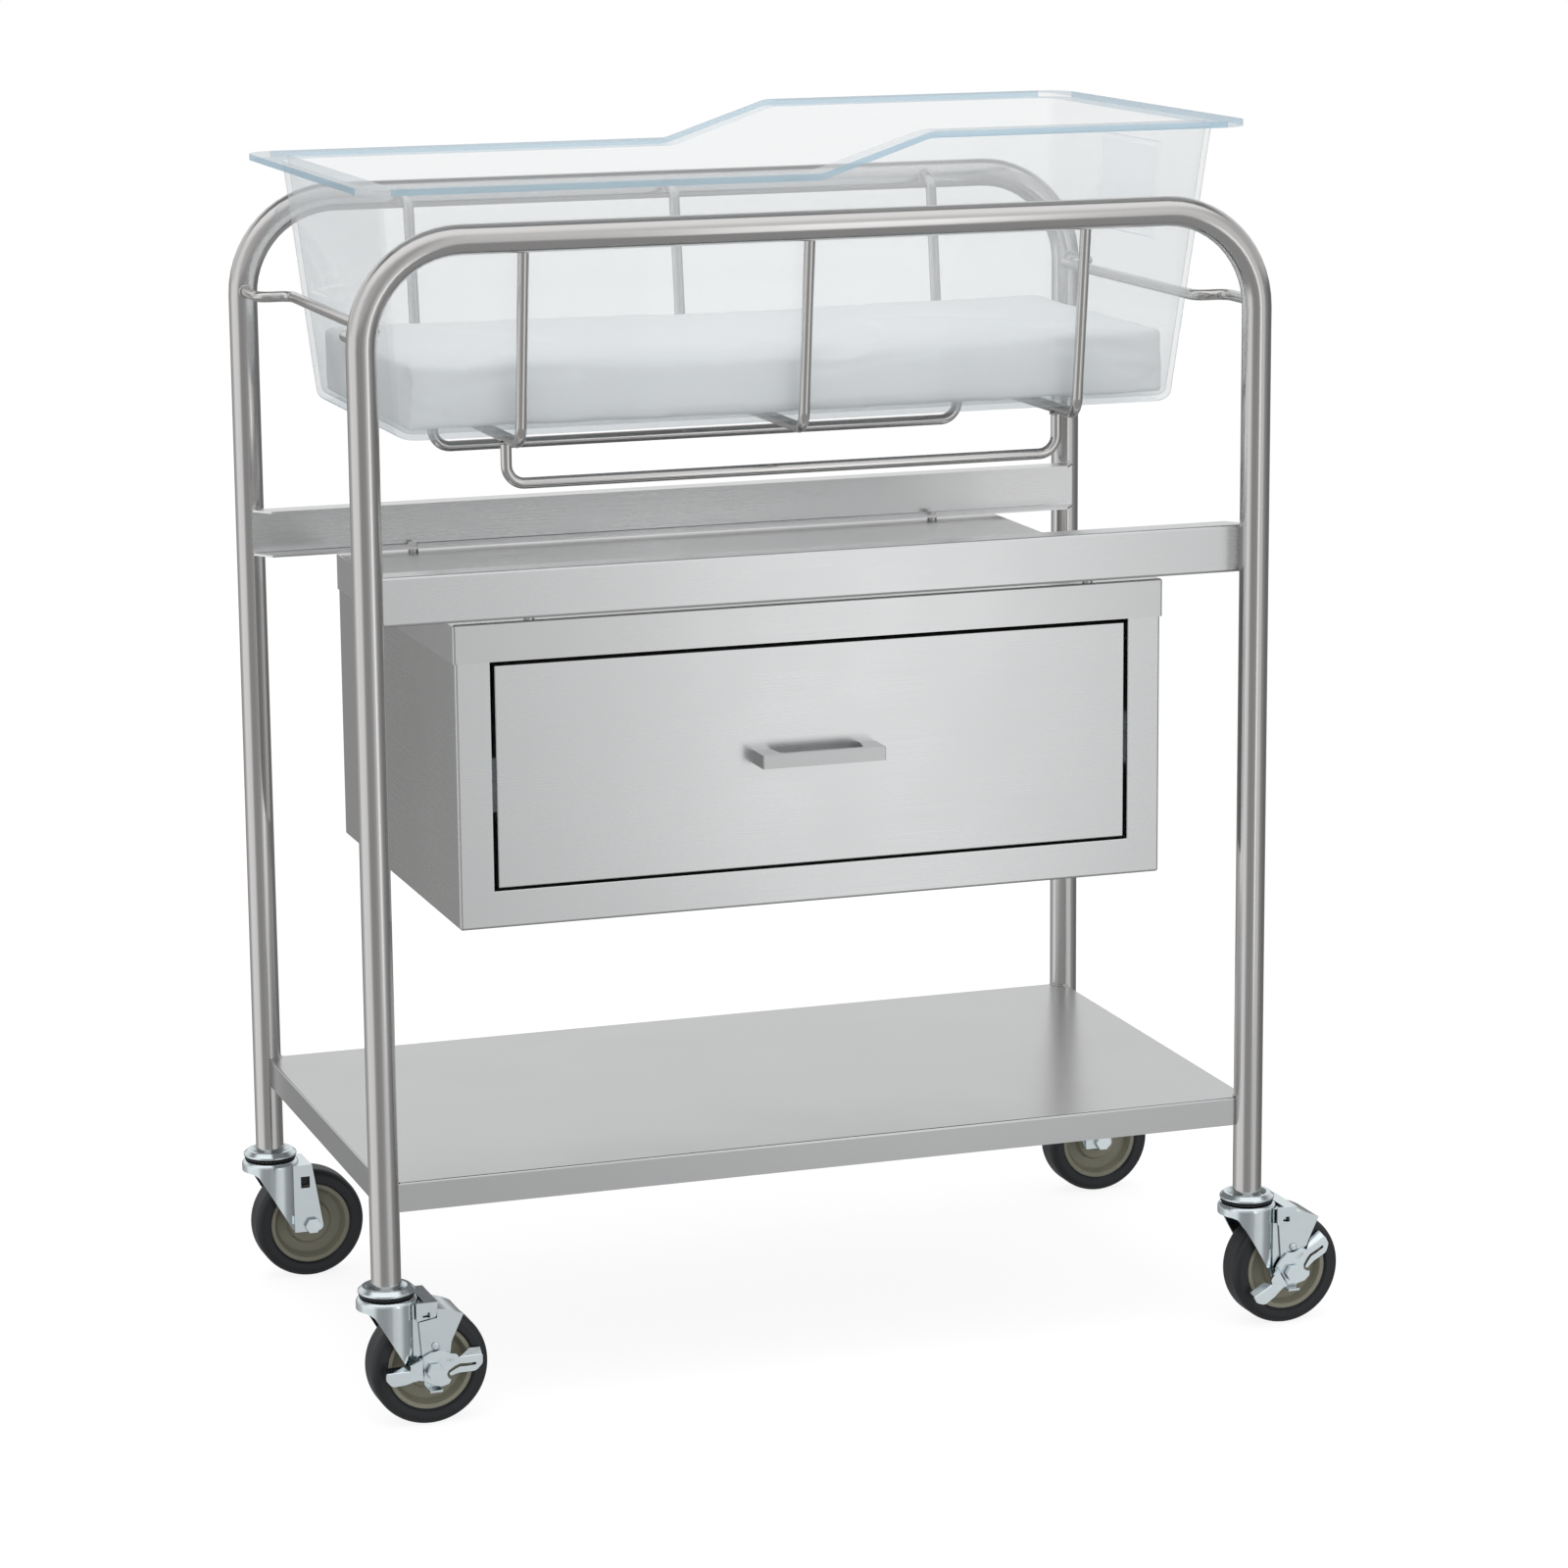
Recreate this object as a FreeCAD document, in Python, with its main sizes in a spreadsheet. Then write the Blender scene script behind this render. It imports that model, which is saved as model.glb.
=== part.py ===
"""Hospital bassinet: a stainless carrier on casters, a drawer cabinet, a shelf and a clear basket.

X runs along the bassinet from the foot end to the head end, Y from the front to the rear, Z up.
The origin lies on the floor at the middle of the bassinet's footprint.  Lengths are millimetres.
"""
import FreeCAD, Part
import math
import os

import Sketcher
from FreeCAD import Placement, Rotation, Vector

doc = FreeCAD.newDocument("Bassinet")

# ---------------------------------------------------------------- driving dimensions

DRIVING = [
    # frame of bent tube
    ("leg_span", 787.4, "leg to leg along the bassinet, on centres"),
    ("frame_spread", 438.0, "front frame to rear frame, on centres"),
    ("tube_dia", 25.4, "frame tube, outside"),
    ("tube_wall", 1.65, "frame tube, wall"),
    ("frame_bend", 85.0, "centreline radius of the frame's top corners"),
    ("top_rail_height", 994.9, "centre of the top rails above the floor"),
    ("leg_foot_height", 118.6, "lower end of the legs above the floor"),
    # bent rods
    ("rod_dia", 9.5, "all rods"),
    ("rod_bend", 16.0, "centreline radius of the rods' lower bends"),
    ("rod_end_bend", 11.0, "centreline radius of the tight bends beside a weld"),
    ("cradle_pitch", 248.0, "between cradle rods"),
    ("cradle_floor", 818.5, "centre of the cradle rods' level run above the floor"),
    ("cradle_top_half", 190.1, "half the distance across a cradle rod at its top"),
    ("cradle_floor_half", 168.6, "half the distance across a cradle rod at its floor"),
    ("rack_half", 122.0, "half the distance between the two rack rods"),
    ("rack_floor", 779.0, "centre of the rack rods' level run above the floor"),
    ("end_bar_height", 914.6, "centre of the end bars above the floor"),
    ("end_bar_step", 29.2, "how far the end bars step in from the legs"),
    ("end_bar_half", 155.1, "half the length of an end bar's long run"),
    # cabinet rails
    ("rail_top", 720.0, "upper face of the cabinet rails above the floor"),
    ("rail_web", 41.3, "height of the cabinet rails"),
    ("rail_flange", 24.0, "width of the cabinet rails' flanges"),
    ("rail_sheet", 1.9, "sheet of the cabinet rails"),
    ("rail_mitre", 14.0, "diagonal cut on the ends of the flanges"),
    ("rail_overrun", 1.5, "rail ends beyond the middles of the legs"),
    # lower shelf
    ("shelf_top", 209.5, "upper face of the shelf above the floor"),
    ("shelf_apron", 25.2, "height of the shelf's aprons"),
    ("shelf_hem", 12.0, "hem turned in under each apron"),
    ("shelf_sheet", 1.5, "sheet of the shelf"),
    # cabinet
    ("cabinet_length", 635.0, "lid along X"),
    ("cabinet_front_step", 21.5, "lid's front face behind the middles of the front legs"),
    ("cabinet_rear_step", 8.5, "lid's rear face ahead of the middles of the rear legs"),
    ("cabinet_floor", 415.5, "underside of the cabinet above the floor"),
    ("cabinet_sheet", 1.2, "sheet of shell and face frame"),
    ("lid_sheet", 1.5, "sheet of the lid"),
    ("lid_band", 33.0, "height of the lid's turned-down band"),
    ("lid_spacer", 3.2, "spacer between rail and lid"),
    ("bolt_inset", 67.5, "cabinet bolts from the lid's ends"),
    ("bolt_dia", 5.0, "cabinet bolts"),
    ("bolt_across", 8.0, "cabinet bolts and nuts across flats"),
    ("nut_thick", 4.0, "cabinet nuts"),
    ("stile_width", 31.75, "stiles and lower rail of the face frame"),
    ("frame_return", 16.0, "return folded in round the drawer opening"),
    # drawer
    ("drawer_gap", 3.6, "gap at each side of the drawer front"),
    ("drawer_gap_low", 2.5, "gap under the drawer front"),
    ("drawer_gap_high", 3.2, "gap over the drawer front"),
    ("drawer_depth", 352.0, "drawer box front to rear"),
    ("drawer_side", 150.0, "height of the drawer box"),
    ("drawer_lift", 12.0, "drawer box above the lower edge of the opening"),
    ("slide_length", 355.6, "drawer slides"),
    ("slide_width", 12.7, "thickness of a closed slide"),
    ("slide_tall", 45.7, "height of a slide"),
    ("slide_sheet", 1.5, "sheet of the slides"),
    ("slide_setback", 1.5, "slides behind the face frame's return"),
    ("handle_length", 110.0, "bar handle"),
    ("handle_section", 11.8, "height of the handle's bar"),
    ("handle_reach", 26.0, "handle's front face ahead of the drawer front"),
    ("handle_height", 545.2, "centre of the handle above the floor"),
    ("handle_offset", 1.5, "handle from the cabinet's middle, towards the foot end"),
    # basket and mattress
    ("basket_floor_length", 694.0, "basket outside, at its floor"),
    ("basket_floor_width", 316.0, "basket outside, at its floor"),
    ("basket_mouth_length", 730.0, "basket outside, under the low rim"),
    ("basket_mouth_width", 381.0, "basket outside, under the low rim"),
    ("rim_length", 780.0, "rim outside"),
    ("rim_width", 437.0, "rim outside"),
    ("rim_low", 1037.0, "upper face of the rim at the foot end"),
    ("rim_high", 1068.6, "upper face of the rim at the head end"),
    ("rim_step", 49.0, "middle of the rim's step, towards the head end"),
    ("rim_step_run", 96.0, "length of the rim's step"),
    ("basket_wall", 4.8, "acrylic sheet"),
    ("rim_sheet", 5.4, "rim, thickened by its polished edge"),
    ("rim_corner", 30.0, "corner radius of the rim"),
    ("basket_corner", 22.0, "corner radius of the basket's walls"),
    ("basket_fillet", 10.0, "radius between floor and walls"),
    ("mattress_thick", 61.0, "mattress"),
    ("mattress_gap", 4.0, "between mattress and basket wall, at the basket's floor"),
    ("cover_sheet", 1.5, "quilted mattress cover"),
    ("card_width", 132.0, "card holder"),
    ("card_height", 84.0, "card holder"),
    ("card_drop", 22.0, "card holder below the high rim's underside"),
    ("card_sheet", 1.5, "sheets of the card holder"),
    # casters
    ("wheel_radius", 50.8, "caster wheel"),
    ("wheel_width", 31.8, "tread"),
    ("core_radius", 37.0, "wheel core, outside"),
    ("caster_trail", 33.0, "axle behind the caster's pivot"),
    ("caster_swing", 1.0, "degrees that the casters have swung towards the rear"),
    ("cap_radius", 24.3, "caster's fixed cap"),
    ("cap_top", 122.4, "upper face of the cap above the floor"),
    ("cap_thick", 6.4, "cap, lower face to upper"),
    ("dome_radius", 26.0, "swivel dome"),
    ("dome_top", 113.3, "upper face of the swivel dome above the floor"),
    ("dome_skirt", 9.7, "height of the dome's rim"),
    ("crown_top", 108.6, "upper face of the yoke's crown above the floor"),
    ("yoke_half", 20.0, "half the width across the yoke"),
    ("yoke_sheet", 2.5, "sheet of the yoke"),
    ("axle_radius", 3.95, "axle bolt"),
    ("bolt_head", 12.7, "axle bolt's hexagon across flats"),
    ("kingpin_radius", 6.0, "king pin"),
    ("ball_radius", 2.4, "swivel balls"),
    ("race_radius", 15.5, "pitch radius of the swivel balls"),
    ("brake_sheet", 2.0, "sheet of brake bracket and shoe"),
    ("lever_sheet", 2.5, "sheet of the brake lever"),
    ("brake_lift", 1.5, "how far the lever lifts the shoe off the tread"),
    ("brake_angle", 30.0, "degrees that the lever turns"),
    # fits
    ("running_fit", 0.06, "radial clearance of turning fits"),
    ("seat_gap", 0.3, "clearance under pieces that rest or slide"),
    ("lap_gap", 0.15, "clearance between lapped sheets"),
    ("bolt_gap", 0.25, "radial clearance of bolts in their holes"),
    ("thread_gap", 0.05, "radial clearance of nuts on their threads"),
]

sheet = doc.addObject("Spreadsheet::Sheet", "Sizes")
for row, (alias, number, note) in enumerate(DRIVING, start=1):
    sheet.set(f"A{row}", note)
    sheet.set(f"B{row}", str(number))
    sheet.setAlias(f"B{row}", alias)
doc.recompute()


class Dim:
    """A length that is both a number and the spreadsheet expression it comes from."""

    def __init__(self, text, number):
        self.text = text
        self.number = number

    def __add__(self, other):
        return Dim(f"({self.text} + {text_of(other)})", self.number + number_of(other))

    def __radd__(self, other):
        return Dim(f"({text_of(other)} + {self.text})", number_of(other) + self.number)

    def __sub__(self, other):
        return Dim(f"({self.text} - {text_of(other)})", self.number - number_of(other))

    def __rsub__(self, other):
        return Dim(f"({text_of(other)} - {self.text})", number_of(other) - self.number)

    def __mul__(self, other):
        return Dim(f"({self.text} * {text_of(other)})", self.number * number_of(other))

    def __rmul__(self, other):
        return self * other

    def __truediv__(self, other):
        return Dim(f"({self.text} / {text_of(other)})", self.number / number_of(other))

    def __neg__(self):
        return Dim(f"(0 - {self.text})", -self.number)


def text_of(value):
    return value.text if isinstance(value, Dim) else repr(float(value))


def number_of(value):
    return value.number if isinstance(value, Dim) else float(value)


class Sheet:
    """Gives each named cell of the spreadsheet as a Dim."""

    def __getattr__(self, alias):
        return Dim(f"Sizes.{alias}", float(sheet.get(alias)))


S = Sheet()
parts = {}

# The wheels trail towards the head end, so the footprint's middle lies off the frame's middle.
FOOTPRINT_X = (S.caster_trail + S.wheel_radius - S.cap_radius) / 2


# ---------------------------------------------------------------- ways of making a piece

def bind(obj, prop, value):
    """Ties one property to the spreadsheet, or sets it where the value is a plain number."""
    if isinstance(value, Dim):
        obj.setExpression(prop, value.text)
    elif "." not in prop:
        setattr(obj, prop, value)
    else:
        obj.setExpression(prop, text_of(value))


def fix_point(sketch, geo, pos, u, v):
    """Holds a point of a sketch at (u, v)."""
    for kind, value in (("DistanceX", u), ("DistanceY", v)):
        index = sketch.addConstraint(Sketcher.Constraint(kind, -1, 1, geo, pos, number_of(value)))
        if isinstance(value, Dim):
            sketch.setExpression(f"Constraints[{index}]", value.text)


def fix_radius(sketch, geo, value):
    index = sketch.addConstraint(Sketcher.Constraint("Radius", geo, number_of(value)))
    if isinstance(value, Dim):
        sketch.setExpression(f"Constraints[{index}]", value.text)


def circle(sketch, u, v, radius):
    centre = Vector(number_of(u), number_of(v), 0)
    geo = sketch.addGeometry(Part.Circle(centre, Vector(0, 0, 1), number_of(radius)))
    fix_point(sketch, geo, 3, u, v)
    fix_radius(sketch, geo, radius)


def outline(sketch, corners, closed=True):
    """Draws straight runs through the corners, each (u, v) or rounded (u, v, radius)."""
    count = len(corners)
    points = [Vector(number_of(c[0]), number_of(c[1]), 0) for c in corners]
    rounded = [len(c) == 3 and number_of(c[2]) > 0 for c in corners]
    enter, leave, arcs = list(points), list(points), {}
    for i in range(count):
        if not rounded[i]:
            continue
        back = (points[i - 1] - points[i]).normalize()
        ahead = (points[(i + 1) % count] - points[i]).normalize()
        radius = number_of(corners[i][2])
        half = back.getAngle(ahead) / 2
        enter[i] = points[i] + back * (radius / math.tan(half))
        leave[i] = points[i] + ahead * (radius / math.tan(half))
        centre = points[i] + (back + ahead).normalize() * (radius / math.sin(half))
        turns_left = (back.cross(ahead)).z < 0
        first, last = (enter[i], leave[i]) if turns_left else (leave[i], enter[i])
        start = math.atan2(first.y - centre.y, first.x - centre.x)
        stop = math.atan2(last.y - centre.y, last.x - centre.x)
        ring = Part.Circle(centre, Vector(0, 0, 1), radius)
        arcs[i] = (Part.ArcOfCircle(ring, start, stop), turns_left)
    runs = count if closed else count - 1
    line = {}
    for i in range(runs):
        line[i] = sketch.addGeometry(Part.LineSegment(leave[i], enter[(i + 1) % count]))
    for i in range(count):
        before, after = line.get((i - 1) % count if closed else i - 1), line.get(i)
        u, v = corners[i][0], corners[i][1]
        if i not in arcs:
            if before is not None and after is not None:
                sketch.addConstraint(Sketcher.Constraint("Coincident", before, 2, after, 1))
            fix_point(sketch, after if after is not None else before, 1 if after is not None else 2, u, v)
            continue
        arc, turns_left = arcs[i]
        geo = sketch.addGeometry(arc)
        mark = sketch.addGeometry(Part.Point(points[i]), True)
        enter_end, leave_end = (1, 2) if turns_left else (2, 1)
        sketch.addConstraint(Sketcher.Constraint("Tangent", before, 2, geo, enter_end))
        sketch.addConstraint(Sketcher.Constraint("Tangent", geo, leave_end, after, 1))
        sketch.addConstraint(Sketcher.Constraint("PointOnObject", mark, 1, before))
        sketch.addConstraint(Sketcher.Constraint("PointOnObject", mark, 1, after))
        fix_point(sketch, mark, 1, u, v)
        fix_radius(sketch, geo, corners[i][2])


def rectangle(left, right, low, high, radius=0):
    """The four corners of an upright rectangle, rounded where a radius is given."""
    return [(left, low, radius), (right, low, radius), (right, high, radius), (left, high, radius)]


PLANE_TURN = {
    "XY": Rotation(),
    "XZ": Rotation(Vector(1, 0, 0), 90),
    "YZ": Rotation(Vector(1, 1, 1), 120),
}
PLANE_LEVEL = {"XY": "Placement.Base.z", "XZ": "Placement.Base.y", "YZ": "Placement.Base.x"}


def free_sketch(plane, level):
    """A sketch on a plane at a level along the third axis."""
    sketch = doc.addObject("Sketcher::SketchObject", "Outline")
    sketch.Placement = Placement(Vector(), PLANE_TURN[plane])
    bind(sketch, PLANE_LEVEL[plane], level)
    return sketch


def prism(plane, corners, low, high, holes=()):
    """Extrudes an outline from low to high along the third axis; holes are (u, v, radius)."""
    sketch = free_sketch(plane, low)
    outline(sketch, corners)
    for u, v, radius in holes:
        circle(sketch, u, v, radius)
    solid = doc.addObject("Part::Extrusion", "Prism")
    solid.Base = sketch
    solid.DirMode = "Normal"
    solid.Solid = True
    length = high - low
    if plane == "XZ":
        solid.Reversed = True
    bind(solid, "LengthFwd", length)
    return solid


def rod(axis, radius, low, high, x=0, y=0, z=0):
    """A round bar along one axis, from low to high on it."""
    bar = doc.addObject("Part::Cylinder", "Rod")
    bind(bar, "Radius", radius)
    bind(bar, "Height", high - low)
    turn = {"Z": Rotation(), "X": Rotation(Vector(0, 1, 0), 90), "Y": Rotation(Vector(1, 0, 0), -90)}
    bar.Placement = Placement(Vector(), turn[axis])
    where = {"X": x, "Y": y, "Z": z}
    where[axis] = low
    for letter, value in where.items():
        bind(bar, f"Placement.Base.{letter.lower()}", value)
    return bar


def block(x_low, x_high, y_low, y_high, z_low, z_high):
    box = doc.addObject("Part::Box", "Block")
    bind(box, "Length", x_high - x_low)
    bind(box, "Width", y_high - y_low)
    bind(box, "Height", z_high - z_low)
    for letter, value in (("x", x_low), ("y", y_low), ("z", z_low)):
        bind(box, f"Placement.Base.{letter}", value)
    return box


def turned(corners, axis="Z"):
    """Turns a profile of (radius, height) corners about an axis through the local origin."""
    sketch = free_sketch("XZ", 0.0)
    outline(sketch, corners)
    solid = doc.addObject("Part::Revolution", "Turned")
    solid.Source = sketch
    solid.Axis = Vector(0, 0, 1)
    solid.Angle = 360
    solid.Solid = True
    if axis == "Y":
        solid.Placement = Placement(Vector(), Rotation(Vector(1, 0, 0), -90))
    return solid


def hexagon(across, axis_low, axis_high, x, z):
    """A hexagonal head along Y, centred on (x, z)."""
    head = doc.addObject("Part::Prism", "Hexagon")
    head.Polygon = 6
    bind(head, "Circumradius", across / math.sqrt(3))
    bind(head, "Height", axis_high - axis_low)
    head.Placement = Placement(Vector(), Rotation(Vector(1, 0, 0), -90))
    for letter, value in (("x", x), ("y", axis_low), ("z", z)):
        bind(head, f"Placement.Base.{letter}", value)
    return head


def join(*shapes):
    fused = doc.addObject("Part::MultiFuse", "Joined")
    fused.Shapes = list(shapes)
    fused.Refine = True
    return fused


def cut(base, *tools):
    tool = tools[0] if len(tools) == 1 else join(*tools)
    result = doc.addObject("Part::Cut", "Cut")
    result.Base = base
    result.Tool = tool
    return result


def common(first, second):
    result = doc.addObject("Part::MultiCommon", "Common")
    result.Shapes = [first, second]
    return result


def group(*shapes):
    """Several separate solids kept in one piece's node."""
    bundle = doc.addObject("Part::Compound", "Group")
    bundle.Links = list(shapes)
    return bundle


def edges_of(shape, chosen):
    return [i for i, edge in enumerate(shape.Edges, start=1) if chosen(edge)]


def rounded_edges(base, radius, chosen):
    """Rounds the edges of a piece that the test picks."""
    doc.recompute()
    fillet = doc.addObject("Part::Fillet", "Rounded")
    fillet.Base = base
    r = number_of(radius)
    fillet.Edges = [(i, r, r) for i in edges_of(base.Shape, chosen)]
    return fillet


def runs_along(axis, tolerance=1e-6):
    """A test for straight edges along one axis."""
    direction = {"X": Vector(1, 0, 0), "Y": Vector(0, 1, 0), "Z": Vector(0, 0, 1)}[axis]

    def chosen(edge):
        if edge.Curve.TypeId != "Part::GeomLine":
            return False
        return abs(abs(edge.tangentAt(edge.FirstParameter).dot(direction)) - 1) < tolerance

    return chosen


def at_level(edge, axis, value, tolerance=0.01):
    """True where the whole edge lies at one level of an axis."""
    low = getattr(edge.BoundBox, f"{axis}Min")
    high = getattr(edge.BoundBox, f"{axis}Max")
    return abs(low - number_of(value)) < tolerance and abs(high - number_of(value)) < tolerance


def name(label, obj, x=0.0, y=0.0, z=0.0, turn=0.0):
    """Makes an object a sub-part: its own label and its place, x counted from the frame's middle."""
    obj.Label = label
    obj.Placement = Placement(Vector(), Rotation(Vector(0, 0, 1), number_of(turn)))
    for letter, value in (("x", x - FOOTPRINT_X), ("y", y), ("z", z)):
        bind(obj, f"Placement.Base.{letter}", value)
    parts[label] = obj
    return obj


def origin_plane(body, role):
    return next(f for f in body.Origin.OriginFeatures if getattr(f, "Role", "") == role)


def body_sketch(body, plane, u=0.0, v=0.0, level=0.0):
    """A sketch on one of the body's own origin planes, its origin moved by (u, v, level)."""
    sketch = body.newObject("Sketcher::SketchObject", f"{body.Name}_{plane}")
    sketch.AttachmentSupport = (origin_plane(body, f"{plane}_Plane"), [""])
    sketch.MapMode = "FlatFace"
    for letter, value in (("x", u), ("y", v), ("z", level)):
        bind(sketch, f"AttachmentOffset.Base.{letter}", value)
    return sketch


def bent_bar(plane, corners, outside, bore=None):
    """A bar or tube bent in one plane, its first run along the path's first leg."""
    body = doc.addObject("PartDesign::Body", "Bar")
    path = body_sketch(body, plane)
    outline(path, corners, closed=False)
    (u0, v0), (u1, v1) = corners[0][:2], corners[1][:2]
    upright = abs(number_of(u1) - number_of(u0)) < abs(number_of(v1) - number_of(v0))
    start = {
        ("XZ", True): ("XY", u0, 0.0, v0),
        ("YZ", False): ("XZ", 0.0, v0, -u0),
        ("XY", True): ("XZ", u0, 0.0, -v0),
    }[plane, upright]
    profile = body_sketch(body, *start)
    circle(profile, 0.0, 0.0, outside / 2)
    if bore is not None:
        circle(profile, 0.0, 0.0, bore / 2)
    doc.recompute()
    pipe = body.newObject("PartDesign::AdditivePipe", "Bent")
    pipe.Profile = profile
    pipe.Spine = (path, [f"Edge{i}" for i in range(1, len(path.Shape.Edges) + 1)])
    pipe.Transition = "Transformed"
    body.Tip = pipe
    return body


# ---------------------------------------------------------------- shared places

LEG_X = S.leg_span / 2
LEG_Y = S.frame_spread / 2
TUBE_R = S.tube_dia / 2
ROD_R = S.rod_dia / 2
FRAMES = {"front": -1, "rear": 1}
ENDS = {"foot": -1, "head": 1}
BORE = S.tube_dia - 2 * S.tube_wall
ZERO = S.leg_span * 0

# ---------------------------------------------------------------- frame

for side, sign in FRAMES.items():
    path = [
        (-LEG_X, S.leg_foot_height),
        (-LEG_X, S.top_rail_height, S.frame_bend),
        (LEG_X, S.top_rail_height, S.frame_bend),
        (LEG_X, S.leg_foot_height),
    ]
    tube = bent_bar("XZ", path, S.tube_dia, BORE)
    name(f"{side}_frame_tube", tube, y=sign * LEG_Y)

# Each end bar leaves a leg towards the other frame, steps in and runs across the end.
for end, sign in ENDS.items():
    outer = sign * LEG_X
    inner = sign * (LEG_X - S.end_bar_step)
    weld = LEG_Y - TUBE_R
    path = [
        (outer, weld),
        (outer, S.end_bar_half, S.rod_end_bend),
        (inner, S.end_bar_half, S.rod_end_bend),
        (inner, -S.end_bar_half, S.rod_end_bend),
        (outer, -S.end_bar_half, S.rod_end_bend),
        (outer, -weld),
    ]
    name(f"{end}_end_bar", bent_bar("XY", path, S.rod_dia), z=S.end_bar_height)

# Each cradle rod turns in from one top rail, leans down, crosses and climbs to the other.
CRADLE = {"foot": -1, "middle": 0, "head": 1}
for place, step in CRADLE.items():
    half = [
        (LEG_Y - TUBE_R, S.top_rail_height),
        (S.cradle_top_half, S.top_rail_height, S.rod_end_bend),
        (S.cradle_floor_half, S.cradle_floor, S.rod_bend),
    ]
    path = half + [(-corner[0],) + corner[1:] for corner in reversed(half)]
    name(f"{place}_cradle_rod", bent_bar("YZ", path, S.rod_dia), x=step * S.cradle_pitch)

for side, sign in FRAMES.items():
    path = [
        (-S.cradle_pitch, S.cradle_floor - ROD_R),
        (-S.cradle_pitch, S.rack_floor, S.rod_bend),
        (S.cradle_pitch, S.rack_floor, S.rod_bend),
        (S.cradle_pitch, S.cradle_floor - ROD_R),
    ]
    name(f"{side}_rack_rod", bent_bar("XZ", path, S.rod_dia), y=sign * S.rack_half)

# ---------------------------------------------------------------- cabinet rails

RAIL_HALF = LEG_X + S.rail_overrun
LAP = S.lid_sheet + S.lap_gap
LID_FRONT = S.cabinet_front_step - LEG_Y
LID_REAR = LEG_Y - S.cabinet_rear_step
RAIL_FACE = LEG_Y - TUBE_R
RAIL_LOW = S.rail_top - S.rail_web
BOLT_X = S.cabinet_length / 2 - S.bolt_inset
BOLT_RADIUS = S.bolt_dia / 2
BOLT_HOLE = BOLT_RADIUS + S.bolt_gap
BOLT_CORNER = S.bolt_across / math.sqrt(3)
FOLD_INSIDE = 0.6


def rail(sign):
    """A channel with its web against the legs and its flanges turned in over the cabinet."""
    web, tip, gauge = sign * RAIL_FACE, sign * (RAIL_FACE - S.rail_flange), sign * S.rail_sheet
    fold = S.rail_sheet + FOLD_INSIDE
    profile = [
        (web, RAIL_LOW, fold),
        (web, S.rail_top, fold),
        (tip, S.rail_top),
        (tip, S.rail_top - S.rail_sheet),
        (web - gauge, S.rail_top - S.rail_sheet, FOLD_INSIDE),
        (web - gauge, RAIL_LOW + S.rail_sheet, FOLD_INSIDE),
        (tip, RAIL_LOW + S.rail_sheet),
        (tip, RAIL_LOW),
    ]
    channel = prism("YZ", profile, -RAIL_HALF, RAIL_HALF)
    wedges = []
    for end in (-1, 1):
        corner = [
            (end * (RAIL_HALF + 1), sign * (RAIL_FACE - S.rail_flange - 1)),
            (end * (RAIL_HALF - S.rail_mitre), sign * (RAIL_FACE - S.rail_flange - 1)),
            (end * (RAIL_HALF + 1), sign * (RAIL_FACE - S.rail_sheet - 3)),
        ]
        wedges.append(prism("XY", corner, RAIL_LOW - 1, S.rail_top + 1))
    return channel, wedges


def bolt_y(side):
    """Where the cabinet's bolts stand: close behind the face frame, and midway on the rear flange."""
    if side == "front":
        return LID_FRONT + LAP + S.cabinet_sheet + BOLT_CORNER + S.seat_gap
    return RAIL_FACE - S.rail_flange / 2


for side, sign in FRAMES.items():
    channel, wedges = rail(sign)
    holes = [
        rod("Z", BOLT_HOLE, RAIL_LOW - 1, RAIL_LOW + S.rail_sheet + 1, x=end * BOLT_X, y=bolt_y(side))
        for end in (-1, 1)
    ]
    name(f"{side}_cabinet_rail", cut(channel, *wedges, *holes))

# ---------------------------------------------------------------- lower shelf

SHELF_CORNER = 2.0


def shelf():
    """A pan folded down on four sides, hemmed, with its corners coped round the legs."""
    low = S.shelf_top - S.shelf_apron
    outer = block(-LEG_X, LEG_X, -LEG_Y, LEG_Y, low, S.shelf_top)
    outer = rounded_edges(outer, SHELF_CORNER, lambda e: at_level(e, "Z", S.shelf_top))
    x_in, y_in = LEG_X - S.shelf_sheet, LEG_Y - S.shelf_sheet
    hollow = block(-x_in, x_in, -y_in, y_in, low + S.shelf_sheet, S.shelf_top - S.shelf_sheet)
    x_hem, y_hem = LEG_X - S.shelf_hem, LEG_Y - S.shelf_hem
    mouth = block(-x_hem, x_hem, -y_hem, y_hem, low - 1, low + S.shelf_sheet + 1)
    copes = [
        rod("Z", TUBE_R + S.running_fit, low - 1, S.shelf_top + 1, x=sx * LEG_X, y=sy * LEG_Y)
        for sx in (-1, 1)
        for sy in (-1, 1)
    ]
    return cut(outer, hollow, mouth, *copes)


name("lower_shelf", shelf())

# ---------------------------------------------------------------- cabinet

LID_HALF = S.cabinet_length / 2
LID_TOP = RAIL_LOW - S.lid_spacer
BAND_LOW = LID_TOP - S.lid_band
SHELL_HALF = LID_HALF - LAP
SHELL_FRONT = LID_FRONT + LAP
SHELL_REAR = LID_REAR - LAP
SHELL_TOP = LID_TOP - LAP
OPENING_HALF = LID_HALF - S.stile_width
OPENING_LOW = S.cabinet_floor + S.stile_width
OPENING_HIGH = BAND_LOW - 0.5


FOLD_OUTSIDE = 2.2
FACE_DEPTH = 3.6


def floor_fold(e):
    """The folds along the two sides of the cabinet's floor."""
    return runs_along("Y")(e) and at_level(e, "Z", S.cabinet_floor)


def folded_edge(e):
    """The face frame's front and lower folds; its top stays under the lid's band."""
    if at_level(e, "Z", SHELL_TOP):
        return False
    return at_level(e, "Y", SHELL_FRONT) or floor_fold(e)


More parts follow.
